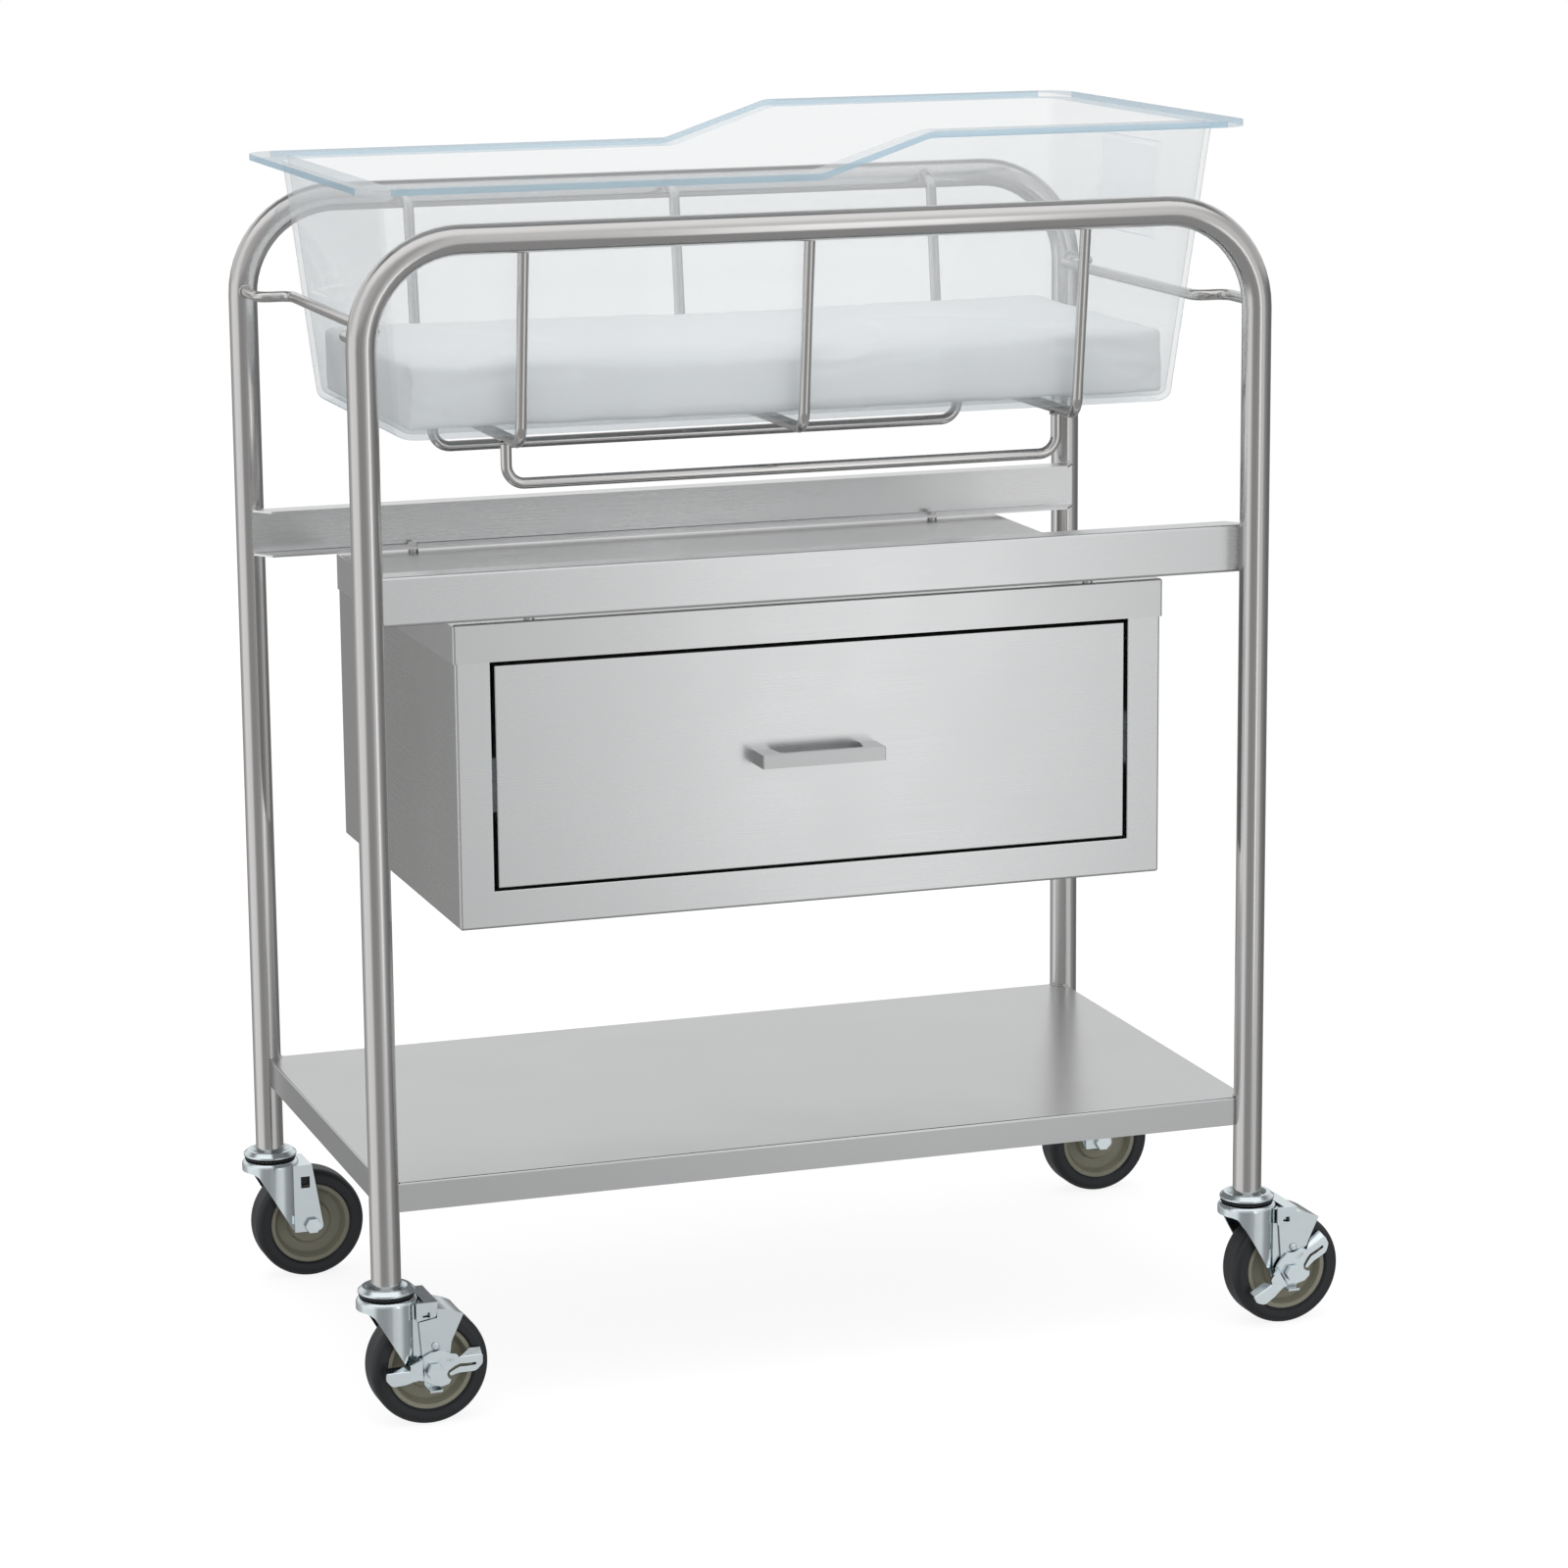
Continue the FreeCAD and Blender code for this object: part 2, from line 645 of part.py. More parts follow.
def mouth_edge(e):
    """The edges of the drawer opening in the face."""
    box = e.BoundBox
    level_x = max(-box.XMin, box.XMax) < number_of(OPENING_HALF) + 0.1
    level_z = box.ZMin > number_of(OPENING_LOW) - 0.1 and box.ZMax < number_of(OPENING_HIGH) + 0.1
    return at_level(e, "Y", SHELL_FRONT) and level_x and level_z


def bolt_holes(low, high):
    return [
        rod("Z", BOLT_HOLE, low, high, x=end * BOLT_X, y=bolt_y(side))
        for end in (-1, 1)
        for side in FRAMES
    ]


def lid():
    outer = block(-LID_HALF, LID_HALF, LID_FRONT, LID_REAR, BAND_LOW, LID_TOP)
    outer = rounded_edges(outer, FOLD_OUTSIDE, lambda e: runs_along("Z")(e) or at_level(e, "Z", LID_TOP))
    inside = block(
        -LID_HALF + S.lid_sheet,
        LID_HALF - S.lid_sheet,
        LID_FRONT + S.lid_sheet,
        LID_REAR - S.lid_sheet,
        BAND_LOW - 1,
        LID_TOP - S.lid_sheet,
    )
    return cut(outer, inside, *bolt_holes(LID_TOP - S.lid_sheet - 1, LID_TOP + 1))


def shell():
    """Sides, back and floor folded from one sheet; the face frame closes its front edge."""
    front = SHELL_FRONT + FACE_DEPTH
    outer = block(-SHELL_HALF, SHELL_HALF, front, SHELL_REAR, S.cabinet_floor, SHELL_TOP)
    outer = rounded_edges(outer, FOLD_OUTSIDE, floor_fold)
    inside = block(
        -SHELL_HALF + S.cabinet_sheet,
        SHELL_HALF - S.cabinet_sheet,
        front - 1,
        SHELL_REAR - S.cabinet_sheet,
        S.cabinet_floor + S.cabinet_sheet,
        SHELL_TOP + 1,
    )
    return cut(outer, inside)


def face_frame():
    """Stiles and rails in one face, folded back at its edges and in round the drawer opening."""
    gauge = S.cabinet_sheet
    back = SHELL_FRONT + FACE_DEPTH
    outer = block(-SHELL_HALF, SHELL_HALF, SHELL_FRONT, back, S.cabinet_floor, SHELL_TOP)
    outer = rounded_edges(outer, FOLD_OUTSIDE, folded_edge)
    inside = block(
        -SHELL_HALF + gauge,
        SHELL_HALF - gauge,
        SHELL_FRONT + gauge,
        back + 1,
        S.cabinet_floor + gauge,
        SHELL_TOP + 1,
    )
    sleeve = block(
        -OPENING_HALF - gauge,
        OPENING_HALF + gauge,
        SHELL_FRONT,
        SHELL_FRONT + S.frame_return,
        OPENING_LOW - gauge,
        OPENING_HIGH + gauge,
    )
    mouth = block(
        -OPENING_HALF,
        OPENING_HALF,
        SHELL_FRONT - 1,
        SHELL_FRONT + S.frame_return + 1,
        OPENING_LOW,
        OPENING_HIGH,
    )
    frame = cut(join(cut(outer, inside), sleeve), mouth)
    return rounded_edges(frame, 0.9, mouth_edge)


name("cabinet_lid", lid())
name("cabinet_shell", shell())
name("cabinet_face_frame", face_frame())

def upright_hexagon(low, high, x, y):
    head = doc.addObject("Part::Prism", "Hexagon")
    head.Polygon = 6
    bind(head, "Circumradius", BOLT_CORNER)
    bind(head, "Height", high - low)
    for letter, value in (("x", x), ("y", y), ("z", low)):
        bind(head, f"Placement.Base.{letter}", value)
    return head


def cabinet_bolts():
    """A bolt down through rail, spacer and lid, and its nut under the lid, four times."""
    seat, under = RAIL_LOW + S.rail_sheet, LID_TOP - S.lid_sheet
    nut_low = under - S.nut_thick
    pieces = []
    for end in (-1, 1):
        for side in FRAMES:
            x, y = end * BOLT_X, bolt_y(side)
            shank = rod("Z", BOLT_RADIUS, nut_low - 1.5, seat + 1, x=x, y=y)
            pieces.append(join(upright_hexagon(seat, seat + BOLT_RADIUS, x, y), shank))
            bore = rod("Z", BOLT_RADIUS + S.thread_gap, nut_low - 1, under + 1, x=x, y=y)
            pieces.append(cut(upright_hexagon(nut_low, under, x, y), bore))
    return group(*pieces)


def cabinet_spacers():
    rings = []
    for end in (-1, 1):
        for side in FRAMES:
            x, y = end * BOLT_X, bolt_y(side)
            ring = rod("Z", BOLT_HOLE + 2, LID_TOP, RAIL_LOW, x=x, y=y)
            rings.append(cut(ring, rod("Z", BOLT_HOLE, LID_TOP - 1, RAIL_LOW + 1, x=x, y=y)))
    return group(*rings)


name("cabinet_bolts", cabinet_bolts())
name("cabinet_spacers", cabinet_spacers())

# ---------------------------------------------------------------- drawer slides

SLIDE_Y = SHELL_FRONT + S.frame_return + S.slide_setback
SLIDE_END = SLIDE_Y + S.slide_length
SLIDE_Z = OPENING_LOW + S.drawer_lift + S.drawer_side / 2
SLIDE_X = OPENING_HALF - S.seat_gap
BALL_GAP = 0.4


def channel(sign, web, mouth, half_tall):
    """A slide member: a channel with its web at one x and its flanges running to another."""
    gauge = S.slide_sheet if mouth.number > web.number else -S.slide_sheet
    profile = [
        (sign * web, SLIDE_Z - half_tall),
        (sign * mouth, SLIDE_Z - half_tall),
        (sign * mouth, SLIDE_Z - half_tall + S.slide_sheet),
        (sign * (web + gauge), SLIDE_Z - half_tall + S.slide_sheet),
        (sign * (web + gauge), SLIDE_Z + half_tall - S.slide_sheet),
        (sign * mouth, SLIDE_Z + half_tall - S.slide_sheet),
        (sign * mouth, SLIDE_Z + half_tall),
        (sign * web, SLIDE_Z + half_tall),
    ]
    return prism("XZ", profile, SLIDE_Y, SLIDE_END)


def slide_members(web_in, mouth_in, half_tall):
    """The same member at both sides of the drawer; distances are inward from the bracket."""
    return group(*[channel(sign, SLIDE_X - web_in, SLIDE_X - mouth_in, half_tall) for sign in (-1, 1)])


OUTER_HALF = S.slide_tall / 2
MIDDLE_HALF = OUTER_HALF - S.slide_sheet - BALL_GAP
INNER_HALF = MIDDLE_HALF - S.slide_sheet - BALL_GAP
DRAWER_SIDE_X = SLIDE_X - S.slide_width
name("slide_cabinet_members", slide_members(ZERO, S.slide_width - 1.7, OUTER_HALF))
name("slide_middle_members", slide_members(S.slide_sheet + BALL_GAP, S.slide_width - 2.2, MIDDLE_HALF))
name("slide_drawer_members", slide_members(S.slide_width, 2 * S.slide_sheet + 2 * BALL_GAP, INNER_HALF))


def slide_brackets():
    """A channel at each side that packs the slide out from the cabinet wall past the stile."""
    wall = SHELL_HALF - S.cabinet_sheet
    gauge = S.slide_sheet
    low, high = SLIDE_Z - OUTER_HALF - 6, SLIDE_Z + OUTER_HALF + 6
    pair = []
    for sign in (-1, 1):
        profile = [
            (sign * SLIDE_X, low),
            (sign * wall, low),
            (sign * wall, low + gauge),
            (sign * (SLIDE_X + gauge), low + gauge),
            (sign * (SLIDE_X + gauge), high - gauge),
            (sign * wall, high - gauge),
            (sign * wall, high),
            (sign * SLIDE_X, high),
        ]
        pair.append(prism("XZ", profile, SLIDE_Y, SLIDE_END))
    return group(*pair)


name("slide_brackets", slide_brackets())

# ---------------------------------------------------------------- drawer

FRONT_HALF = OPENING_HALF - S.drawer_gap
FRONT_LOW = OPENING_LOW + S.drawer_gap_low
FRONT_HIGH = OPENING_HIGH - S.drawer_gap_high
FRONT_FACE = SHELL_FRONT
FRONT_BACK = SLIDE_Y - S.seat_gap
HANDLE_X = -S.handle_offset
POST_X = S.handle_length / 2 - 7.5
SCREW_RADIUS = 2.0
SCREW_HEAD = 8.0
BOX_LOW = OPENING_LOW + S.drawer_lift
BOX_HIGH = BOX_LOW + S.drawer_side


def at_posts(radius, y_low, y_high):
    """A round bar along Y at each of the handle's two posts."""
    middles = [HANDLE_X - POST_X, HANDLE_X + POST_X]
    return [rod("Y", radius, y_low, y_high, x=x, z=S.handle_height) for x in middles]


def drawer_front():
    """A pan with its edges folded back and its rear closed by the drawer box."""
    gauge = S.cabinet_sheet
    outer = block(-FRONT_HALF, FRONT_HALF, FRONT_FACE, FRONT_BACK, FRONT_LOW, FRONT_HIGH)
    outer = rounded_edges(outer, 0.9, lambda e: at_level(e, "Y", FRONT_FACE) or runs_along("Y")(e))
    inside = block(
        -FRONT_HALF + gauge,
        FRONT_HALF - gauge,
        FRONT_FACE + gauge,
        FRONT_BACK + 1,
        FRONT_LOW + gauge,
        FRONT_HIGH - gauge,
    )
    return cut(outer, inside, *at_posts(SCREW_RADIUS + 0.3, FRONT_FACE - 1, FRONT_FACE + 3))


def drawer_box():
    """An open box hung between the slides, its front wall against the drawer front."""
    gauge = S.cabinet_sheet
    half = DRAWER_SIDE_X
    outer = block(-half, half, FRONT_BACK, FRONT_BACK + S.drawer_depth, BOX_LOW, BOX_HIGH)
    inside = block(
        -half + gauge,
        half - gauge,
        FRONT_BACK + gauge,
        FRONT_BACK + S.drawer_depth - gauge,
        BOX_LOW + gauge,
        BOX_HIGH + 1,
    )
    return cut(outer, inside)


HANDLE_POST = 15.0
HANDLE_BAR = 6.0


def handle():
    """A flat bar with a post at each end, its inner corners swept."""
    left, right = HANDLE_X - S.handle_length / 2, HANDLE_X + S.handle_length / 2
    face = FRONT_FACE - S.handle_reach
    sweep = 3.0
    plan = [
        (left, FRONT_FACE),
        (left, face, 0.8),
        (right, face, 0.8),
        (right, FRONT_FACE),
        (right - HANDLE_POST, FRONT_FACE),
        (right - HANDLE_POST - sweep, face + HANDLE_BAR, 4.0),
        (left + HANDLE_POST + sweep, face + HANDLE_BAR, 4.0),
        (left + HANDLE_POST, FRONT_FACE),
    ]
    low = S.handle_height - S.handle_section / 2
    bar = prism("XY", plan, low, low + S.handle_section)
    return cut(bar, *at_posts(SCREW_RADIUS + S.thread_gap, FRONT_FACE - 11, FRONT_FACE + 1))


def handle_screws():
    """A pan-head screw through the drawer front into each post."""
    seat = FRONT_FACE + S.cabinet_sheet
    shanks = at_posts(SCREW_RADIUS, FRONT_FACE - 10, seat + 1)
    heads = at_posts(SCREW_HEAD / 2, seat, seat + 2.6)
    return group(*[join(shank, head) for shank, head in zip(shanks, heads)])


name("drawer_front", drawer_front())
name("drawer_box", drawer_box())
name("drawer_handle", handle())
name("handle_screws", handle_screws())

# ---------------------------------------------------------------- basket

BASKET_LOW = S.cradle_floor + ROD_R + S.seat_gap
MOUTH_Z = S.rim_low - S.rim_sheet
BASKET_TOP = S.rim_high + 6
SLOPE_X = (S.basket_mouth_length - S.basket_floor_length) / 2 / (MOUTH_Z - BASKET_LOW)
SLOPE_Y = (S.basket_mouth_width - S.basket_floor_width) / 2 / (MOUTH_Z - BASKET_LOW)


def wall_half(z, inset=0.0):
    """Half length and half width of the basket's outer wall at a height, less an inset."""
    up = z - BASKET_LOW
    return (
        S.basket_floor_length / 2 + SLOPE_X * up - inset,
        S.basket_floor_width / 2 + SLOPE_Y * up - inset,
    )


def tapered_box(low, high, inset, corner, fillet):
    """A box that widens upwards with the basket's walls, its floor edge rounded."""
    sections = []
    for z in (low, high):
        half_x, half_y = wall_half(z, inset)
        sketch = free_sketch("XY", z)
        outline(sketch, rectangle(-half_x, half_x, -half_y, half_y, corner))
        sections.append(sketch)
    loft = doc.addObject("Part::Loft", "Tapered")
    loft.Sections = sections
    loft.Solid = True
    loft.Ruled = True
    return rounded_edges(loft, fillet, lambda e: at_level(e, "Z", low))


def rim_profile(low_gap, high_gap, ends):
    """Corners of the rim's side view between two offsets from its upper face."""
    start, stop = S.rim_step - S.rim_step_run / 2, S.rim_step + S.rim_step_run / 2
    bend = 26.0
    return [
        (-ends, S.rim_low + low_gap),
        (start, S.rim_low + low_gap, bend),
        (stop, S.rim_high + low_gap, bend),
        (ends, S.rim_high + low_gap),
        (ends, S.rim_high + high_gap),
        (stop, S.rim_high + high_gap, bend),
        (start, S.rim_low + high_gap, bend),
        (-ends, S.rim_low + high_gap),
    ]


def basket():
    """Walls and floor, trimmed to the stepped rim, and the rim's flange laid round them."""
    outer = tapered_box(BASKET_LOW, BASKET_TOP, 0.0, S.basket_corner, S.basket_fillet)
    inside = tapered_box(
        BASKET_LOW + S.basket_wall,
        BASKET_TOP + 1,
        S.basket_wall,
        S.basket_corner - S.basket_wall,
        S.basket_fillet - S.basket_wall / 2,
    )
    ends, sides = S.rim_length / 2, S.rim_width / 2
    above = prism("XZ", rim_profile(ZERO, ZERO + 60, ends), -sides, sides)
    band = prism("XZ", rim_profile(-S.rim_sheet, ZERO, ends), -sides, sides)
    plan = prism("XY", rectangle(-ends, ends, -sides, sides, S.rim_corner), MOUTH_Z - 20, BASKET_TOP)
    return cut(join(cut(outer, above), common(band, plan)), inside)


name("basket_tub", basket())

CARD_Z = S.rim_high - S.rim_sheet - S.card_drop - S.card_height
CARD_TILT = math.degrees(math.atan(SLOPE_X.number))


def card_holder():
    """A back sheet, three spacer strips and a notched front sheet, open towards the rear."""
    half, sheet_y = S.card_width / 2, S.card_sheet
    strip = 6.0
    back = block(ZERO, sheet_y, -half, half, ZERO, S.card_height)
    low = block(sheet_y, 2 * sheet_y, -half, half, ZERO, ZERO + strip)
    high = block(sheet_y, 2 * sheet_y, -half, half, S.card_height - strip, S.card_height)
    side = block(sheet_y, 2 * sheet_y, -half, -half + strip, ZERO, S.card_height)
    front = block(2 * sheet_y, 3 * sheet_y, -half, half, ZERO, S.card_height)
    notch = rod("X", 13.0, sheet_y * 1.5, 4 * sheet_y, y=half + 6.0, z=S.card_height * 0.58)
    return join(back, low, high, side, cut(front, notch))


holder = name("card_holder", card_holder(), x=wall_half(CARD_Z)[0] + S.lap_gap, z=CARD_Z)
holder.Placement.Rotation = Rotation(Vector(0, 1, 0), CARD_TILT)

# ---------------------------------------------------------------- mattress

MATTRESS_LOW = BASKET_LOW + S.basket_wall + S.seat_gap
MATTRESS_HIGH = MATTRESS_LOW + S.mattress_thick


def pad_box(inset, fillet):
    """The mattress's block, drawn in by an inset on every side."""
    half_x, half_y = wall_half(MATTRESS_LOW, S.basket_wall + S.mattress_gap + inset)
    box = block(-half_x, half_x, -half_y, half_y, MATTRESS_LOW + inset, MATTRESS_HIGH - inset)
    return rounded_edges(box, fillet, lambda e: True)


def mattress_cover():
    return cut(pad_box(ZERO, 14.0), pad_box(S.cover_sheet, 12.0))


name("mattress_cover", mattress_cover())
name("mattress_foam", pad_box(S.cover_sheet + S.seat_gap, 11.5))

# ---------------------------------------------------------------- casters

CASTERS = {
    "front_left": (-1, -1),
    "rear_left": (-1, 1),
    "front_right": (1, -1),
    "rear_right": (1, 1),
}
BRAKED = {"front_left": 0.0, "front_right": 1.0}  # how far each brake stands off: 0 is on, 1 is off
AXLE_X = S.caster_trail
AXLE_Z = S.wheel_radius
HEAD_THICK = 4.8
CAP_LOW = S.cap_top - S.cap_thick
COLLAR_LOW = S.dome_top + 0.5
CROWN_LOW = S.crown_top - S.yoke_sheet - 0.3
RACE_Z = (COLLAR_LOW + S.dome_top) / 2


def at_leg(label, obj, caster):
    sx, sy = CASTERS[caster]
    return name(label, obj, x=sx * LEG_X, y=sy * LEG_Y, turn=S.caster_swing)


def race_groove():
    groove = doc.addObject("Part::Torus", "Groove")
    bind(groove, "Radius1", S.race_radius)
    bind(groove, "Radius2", S.ball_radius + S.running_fit)
    bind(groove, "Placement.Base.z", RACE_Z)
    return groove


def caster_cap():
    """Dished cap under the leg, its stem up the leg and its king pin down through the yoke."""
    dish = turned([
        (ZERO, CAP_LOW),
        (S.cap_radius - 2.0, CAP_LOW),
        (S.cap_radius, CAP_LOW + 1.4, 0.9),
        (S.cap_radius, CAP_LOW + 3.0, 1.0),
        (S.cap_radius - 3.6, S.cap_top, 1.2),
        (TUBE_R + 5.0, S.cap_top, 0.9),
        (TUBE_R + 1.4, S.leg_foot_height),
        (ZERO, S.leg_foot_height),
    ])
    collar = rod("Z", S.cap_radius - 3.4, COLLAR_LOW, CAP_LOW)
    stem = rod("Z", BORE / 2 - S.running_fit, CAP_LOW, S.leg_foot_height + 55)
    pin = rod("Z", S.kingpin_radius, CROWN_LOW - 5, CAP_LOW)
    rivet = rod("Z", S.kingpin_radius + 3.5, CROWN_LOW - 5, CROWN_LOW - S.seat_gap)
    body = join(dish, collar, stem, pin, rivet)
    return cut(body, race_groove())


SIDE_VIEW_REAR = 11.4


def yoke_side_view():
    """The yoke seen from the side: broad under the dome, narrowing to the axle."""
    skirt = S.dome_top - S.dome_skirt
    return [
        (-S.dome_radius - 1, S.crown_top),
        (-S.dome_radius - 1, skirt),
        (8.5 - S.dome_radius, skirt, 9.0),
        (AXLE_X - 16.8, AXLE_Z - 6.0, 4.0),
        (AXLE_X + SIDE_VIEW_REAR, AXLE_Z - 6.0, 5.0),
        (AXLE_X + SIDE_VIEW_REAR - 10.2, S.crown_top),
    ]


def wrap(inset, low, high):
    """Plan of the yoke: the dome's round about the pivot, creased where the flat sides leave it."""
    half = S.yoke_half - inset
    far = AXLE_X + SIDE_VIEW_REAR + 5
    sides = block(ZERO, far, -half, half, low, high)
    return join(rod("Z", S.dome_radius - inset, low, high), sides)


def yoke():
    """Drawn dome, crown and two side plates pressed from one sheet."""
    low = AXLE_Z - 8
    view = prism("XZ", yoke_side_view(), -S.dome_radius - 1, S.dome_radius + 1)
    wall = cut(wrap(ZERO, low, S.crown_top), wrap(S.yoke_sheet, low - 1, CROWN_LOW))
    sides = common(view, wall)
    dome = turned([
        (ZERO, CROWN_LOW),
        (S.dome_radius, CROWN_LOW),
        (S.dome_radius, S.dome_top, 4.6),
        (ZERO, S.dome_top),
    ])
    pressed = join(sides, dome)
    window_x, window_z = AXLE_X - 9.6, AXLE_Z + 36.0
    window = block(window_x, window_x + 8.4, -S.yoke_half - 1, S.yoke_half + 1, window_z, window_z + 10.8)
    pin_hole = rod("Z", S.kingpin_radius + S.running_fit, CROWN_LOW - 1, S.dome_top + 1)
    through = S.yoke_half + 1
    axle_hole = rod("Y", S.axle_radius + S.running_fit, -through, through, x=AXLE_X, z=AXLE_Z)
    return cut(pressed, window, pin_hole, axle_hole, race_groove())


def wheel_tread():
    half = S.wheel_width / 2
    return turned([
        (S.core_radius, -half + 2.6),
        (S.core_radius + 2.0, -half),
        (S.wheel_radius, -half, 7.0),
        (S.wheel_radius, half, 7.0),
        (S.core_radius + 2.0, half),
        (S.core_radius, half - 2.6),
    ], axis="Y")


SLEEVE_RADIUS = 6.35


def wheel_core():
    """A dished core: outer ring, thin web and hub."""
    half = S.wheel_width / 2 - 2.6
    web, hub, shoulder = 4.0, 19.0, 8.5
    bore = SLEEVE_RADIUS + S.running_fit
    profile = [
        (ZERO + bore, -half - 1.6),
        (ZERO + 10.0, -half - 1.6),
        (ZERO + 10.5, -shoulder - 1.5),
        (ZERO + hub, -shoulder, 1.0),
        (ZERO + hub + 2.0, -web, 1.5),
        (S.core_radius - 7.0, -web, 3.0),
        (S.core_radius - 3.6, -half, 1.0),
        (S.core_radius, -half),
        (S.core_radius, half),
        (S.core_radius - 3.6, half, 1.0),
        (S.core_radius - 7.0, web, 3.0),
        (ZERO + hub + 2.0, web, 1.5),
        (ZERO + hub, shoulder, 1.0),
        (ZERO + 10.5, shoulder + 1.5),
        (ZERO + 10.0, half + 1.6),
        (ZERO + bore, half + 1.6),
    ]
    return turned(profile, axis="Y")


def axle_set(stack):
    """Bolt from the front, nut at the rear and the sleeve that the wheel turns on."""
    outer = S.yoke_half + S.lap_gap
    head_seat = -outer - stack
    shank = rod("Y", S.axle_radius, head_seat - 1, outer + 8.0, x=AXLE_X, z=AXLE_Z)
    head = hexagon(S.bolt_head, head_seat - HEAD_THICK, head_seat, AXLE_X, AXLE_Z)
    bolt = join(shank, head)
    nut = hexagon(S.bolt_head, outer, outer + 6.6, AXLE_X, AXLE_Z)
    nut_bore = rod("Y", S.axle_radius + S.thread_gap, outer - 1, outer + 8, x=AXLE_X, z=AXLE_Z)
    inner = S.yoke_half - S.yoke_sheet - S.lap_gap
    sleeve = rod("Y", SLEEVE_RADIUS, -inner, inner, x=AXLE_X, z=AXLE_Z)
    sleeve_bore = rod("Y", S.axle_radius + S.thread_gap, -inner - 1, inner + 1, x=AXLE_X, z=AXLE_Z)
    return group(bolt, cut(nut, nut_bore), cut(sleeve, sleeve_bore))


def on_axle(label, obj, caster):
    """Places a piece whose local origin is the wheel's centre."""
    sx, sy = CASTERS[caster]
    swing = math.radians(S.caster_swing.number)
    return name(
        label,
        group(obj),
        x=sx * LEG_X + AXLE_X * math.cos(swing),
        y=sy * LEG_Y + AXLE_X * math.sin(swing),
        z=AXLE_Z,
        turn=S.caster_swing,
    )


# ---------------------------------------------------------------- caster brakes

SHOE_FACE = S.yoke_half + 0.2
LEVER_FACE = SHOE_FACE + S.brake_sheet + 0.3
LEVER_FRONT = LEVER_FACE + S.lever_sheet
ARM_STEP = 4.5
LEVER_STACK = LEVER_FRONT - S.yoke_half
SHOE_CLEAR = 0.3
NUB_OUT = 2.2


def brake_bracket():
    """A strap over the crown with a tab down each side of the yoke."""
    gap, gauge = SHOE_FACE + S.brake_sheet + 0.2, S.brake_sheet
    left, right = AXLE_X - 14.0, AXLE_X + 4.7
    top = S.crown_top + gauge
    tab = [
        (left, top),
        (left, AXLE_Z + 44.0),
        (right - 1.5, AXLE_Z + 46.8, 2.5),
        (right, top),
    ]
    strap_left = S.dome_radius + S.seat_gap
    strap = block(strap_left, right, -gap - gauge, gap + gauge, S.crown_top + S.lap_gap, top)
    front = prism("XZ", tab, -gap - gauge, -gap)
    rear = prism("XZ", tab, gap, gap + gauge)
    through = gap + gauge + 1
    window = block(AXLE_X - 8.6, AXLE_X - 2.2, -through, through, AXLE_Z + 46.6, AXLE_Z + 51.2)
    return cut(join(strap, front, rear), window)


# The shoe's plate and the lever's outlines are told from the axle.
SHOE_PLATE = [
    (-5.0, -18.0),
    (6.0, -18.0),
    (7.0, 4.0, 6.0),
    (14.9, 11.0, 1.5),
    (16.4, 23.0, 14.0),
    (27.3, 46.0, 0.6),
    (17.0, 50.0, 2.0),
    (4.4, 52.6, 1.0),
    (4.4, 45.0, 1.0),
    (-11.6, 42.6, 1.0),
    (-9.0, 8.0, 3.0),
    (-8.0, -12.0, 3.0),
]
SHOE_TOP = [(4.5, 44.0), (4.5, 60.0), (35.0, 60.0), (26.3, 44.0)]


def brake_shoe(lift):
    """A plate in front of the yoke, bent into a curved shoe above and a small tab below."""
    low, front = AXLE_Z + lift, -SHOE_FACE - S.brake_sheet
    plate = prism("XZ", [(AXLE_X + c[0], low + c[1]) + c[2:] for c in SHOE_PLATE], front, -SHOE_FACE)
    slot = rod("Y", S.axle_radius + S.brake_lift + 1.0, front - 1, 1 - SHOE_FACE, x=AXLE_X, z=AXLE_Z)
    inner = S.wheel_radius + SHOE_CLEAR
    ring = rod("Y", inner + S.brake_sheet, front, S.yoke_half, x=AXLE_X, z=low)
    ring = cut(ring, rod("Y", inner, front - 1, S.yoke_half + 1, x=AXLE_X, z=low))
    sector = prism("XZ", [(AXLE_X + u, low + v) for u, v in SHOE_TOP], front, S.yoke_half)
    tab = block(AXLE_X - 5.0, AXLE_X + 6.0, -LEVER_FRONT - ARM_STEP, -SHOE_FACE, low - 18.0, low - 16.0)
    nub = rod("Y", 3.2, -LEVER_FACE - NUB_OUT, -SHOE_FACE - 1, x=AXLE_X + 2.3, z=low + 20.6)
    nub = rounded_edges(nub, 1.2, lambda e: at_level(e, "Y", -LEVER_FACE - NUB_OUT))
    return join(cut(plate, slot), common(ring, sector), tab, nub)


LEVER_HUB = [
    (-9.5, -7.6),
    (-4.8, -9.9, 3.0),
    (-0.9, -12.8, 3.0),
    (6.4, -14.8, 3.0),
    (12.6, -13.2, 2.0),
    (14.7, -9.8, 0.8),
    (12.2, -7.8, 1.0),
    (11.0, -4.6, 1.5),
    (12.6, -1.4, 1.5),
    (18.0, 2.0, 3.0),
    (22.6, 3.6, 4.0),
    (28.0, 3.2, 6.0),
    (36.9, 3.3, 1.1),
    (36.9, 1.0, 1.1),
    (28.2, 0.7, 6.0),
    (22.6, 1.0, 4.0),
    (18.2, -0.9, 3.0),
    (13.0, -3.6, 1.2),
    (14.2, -6.3, 1.2),
    (18.8, -5.0, 4.0),
    (23.0, -4.3, 6.0),
    (36.4, -4.4, 7.0),
    (42.4, 1.4, 5.0),
    (42.6, 9.4, 1.0),
    (22.6, 8.4, 3.0),
    (19.6, 12.4, 1.5),
    (13.0, 13.8, 4.0),
    (4.5, 17.2, 5.0),
    (-3.0, 15.6, 4.0),
    (-9.5, 12.4),
]
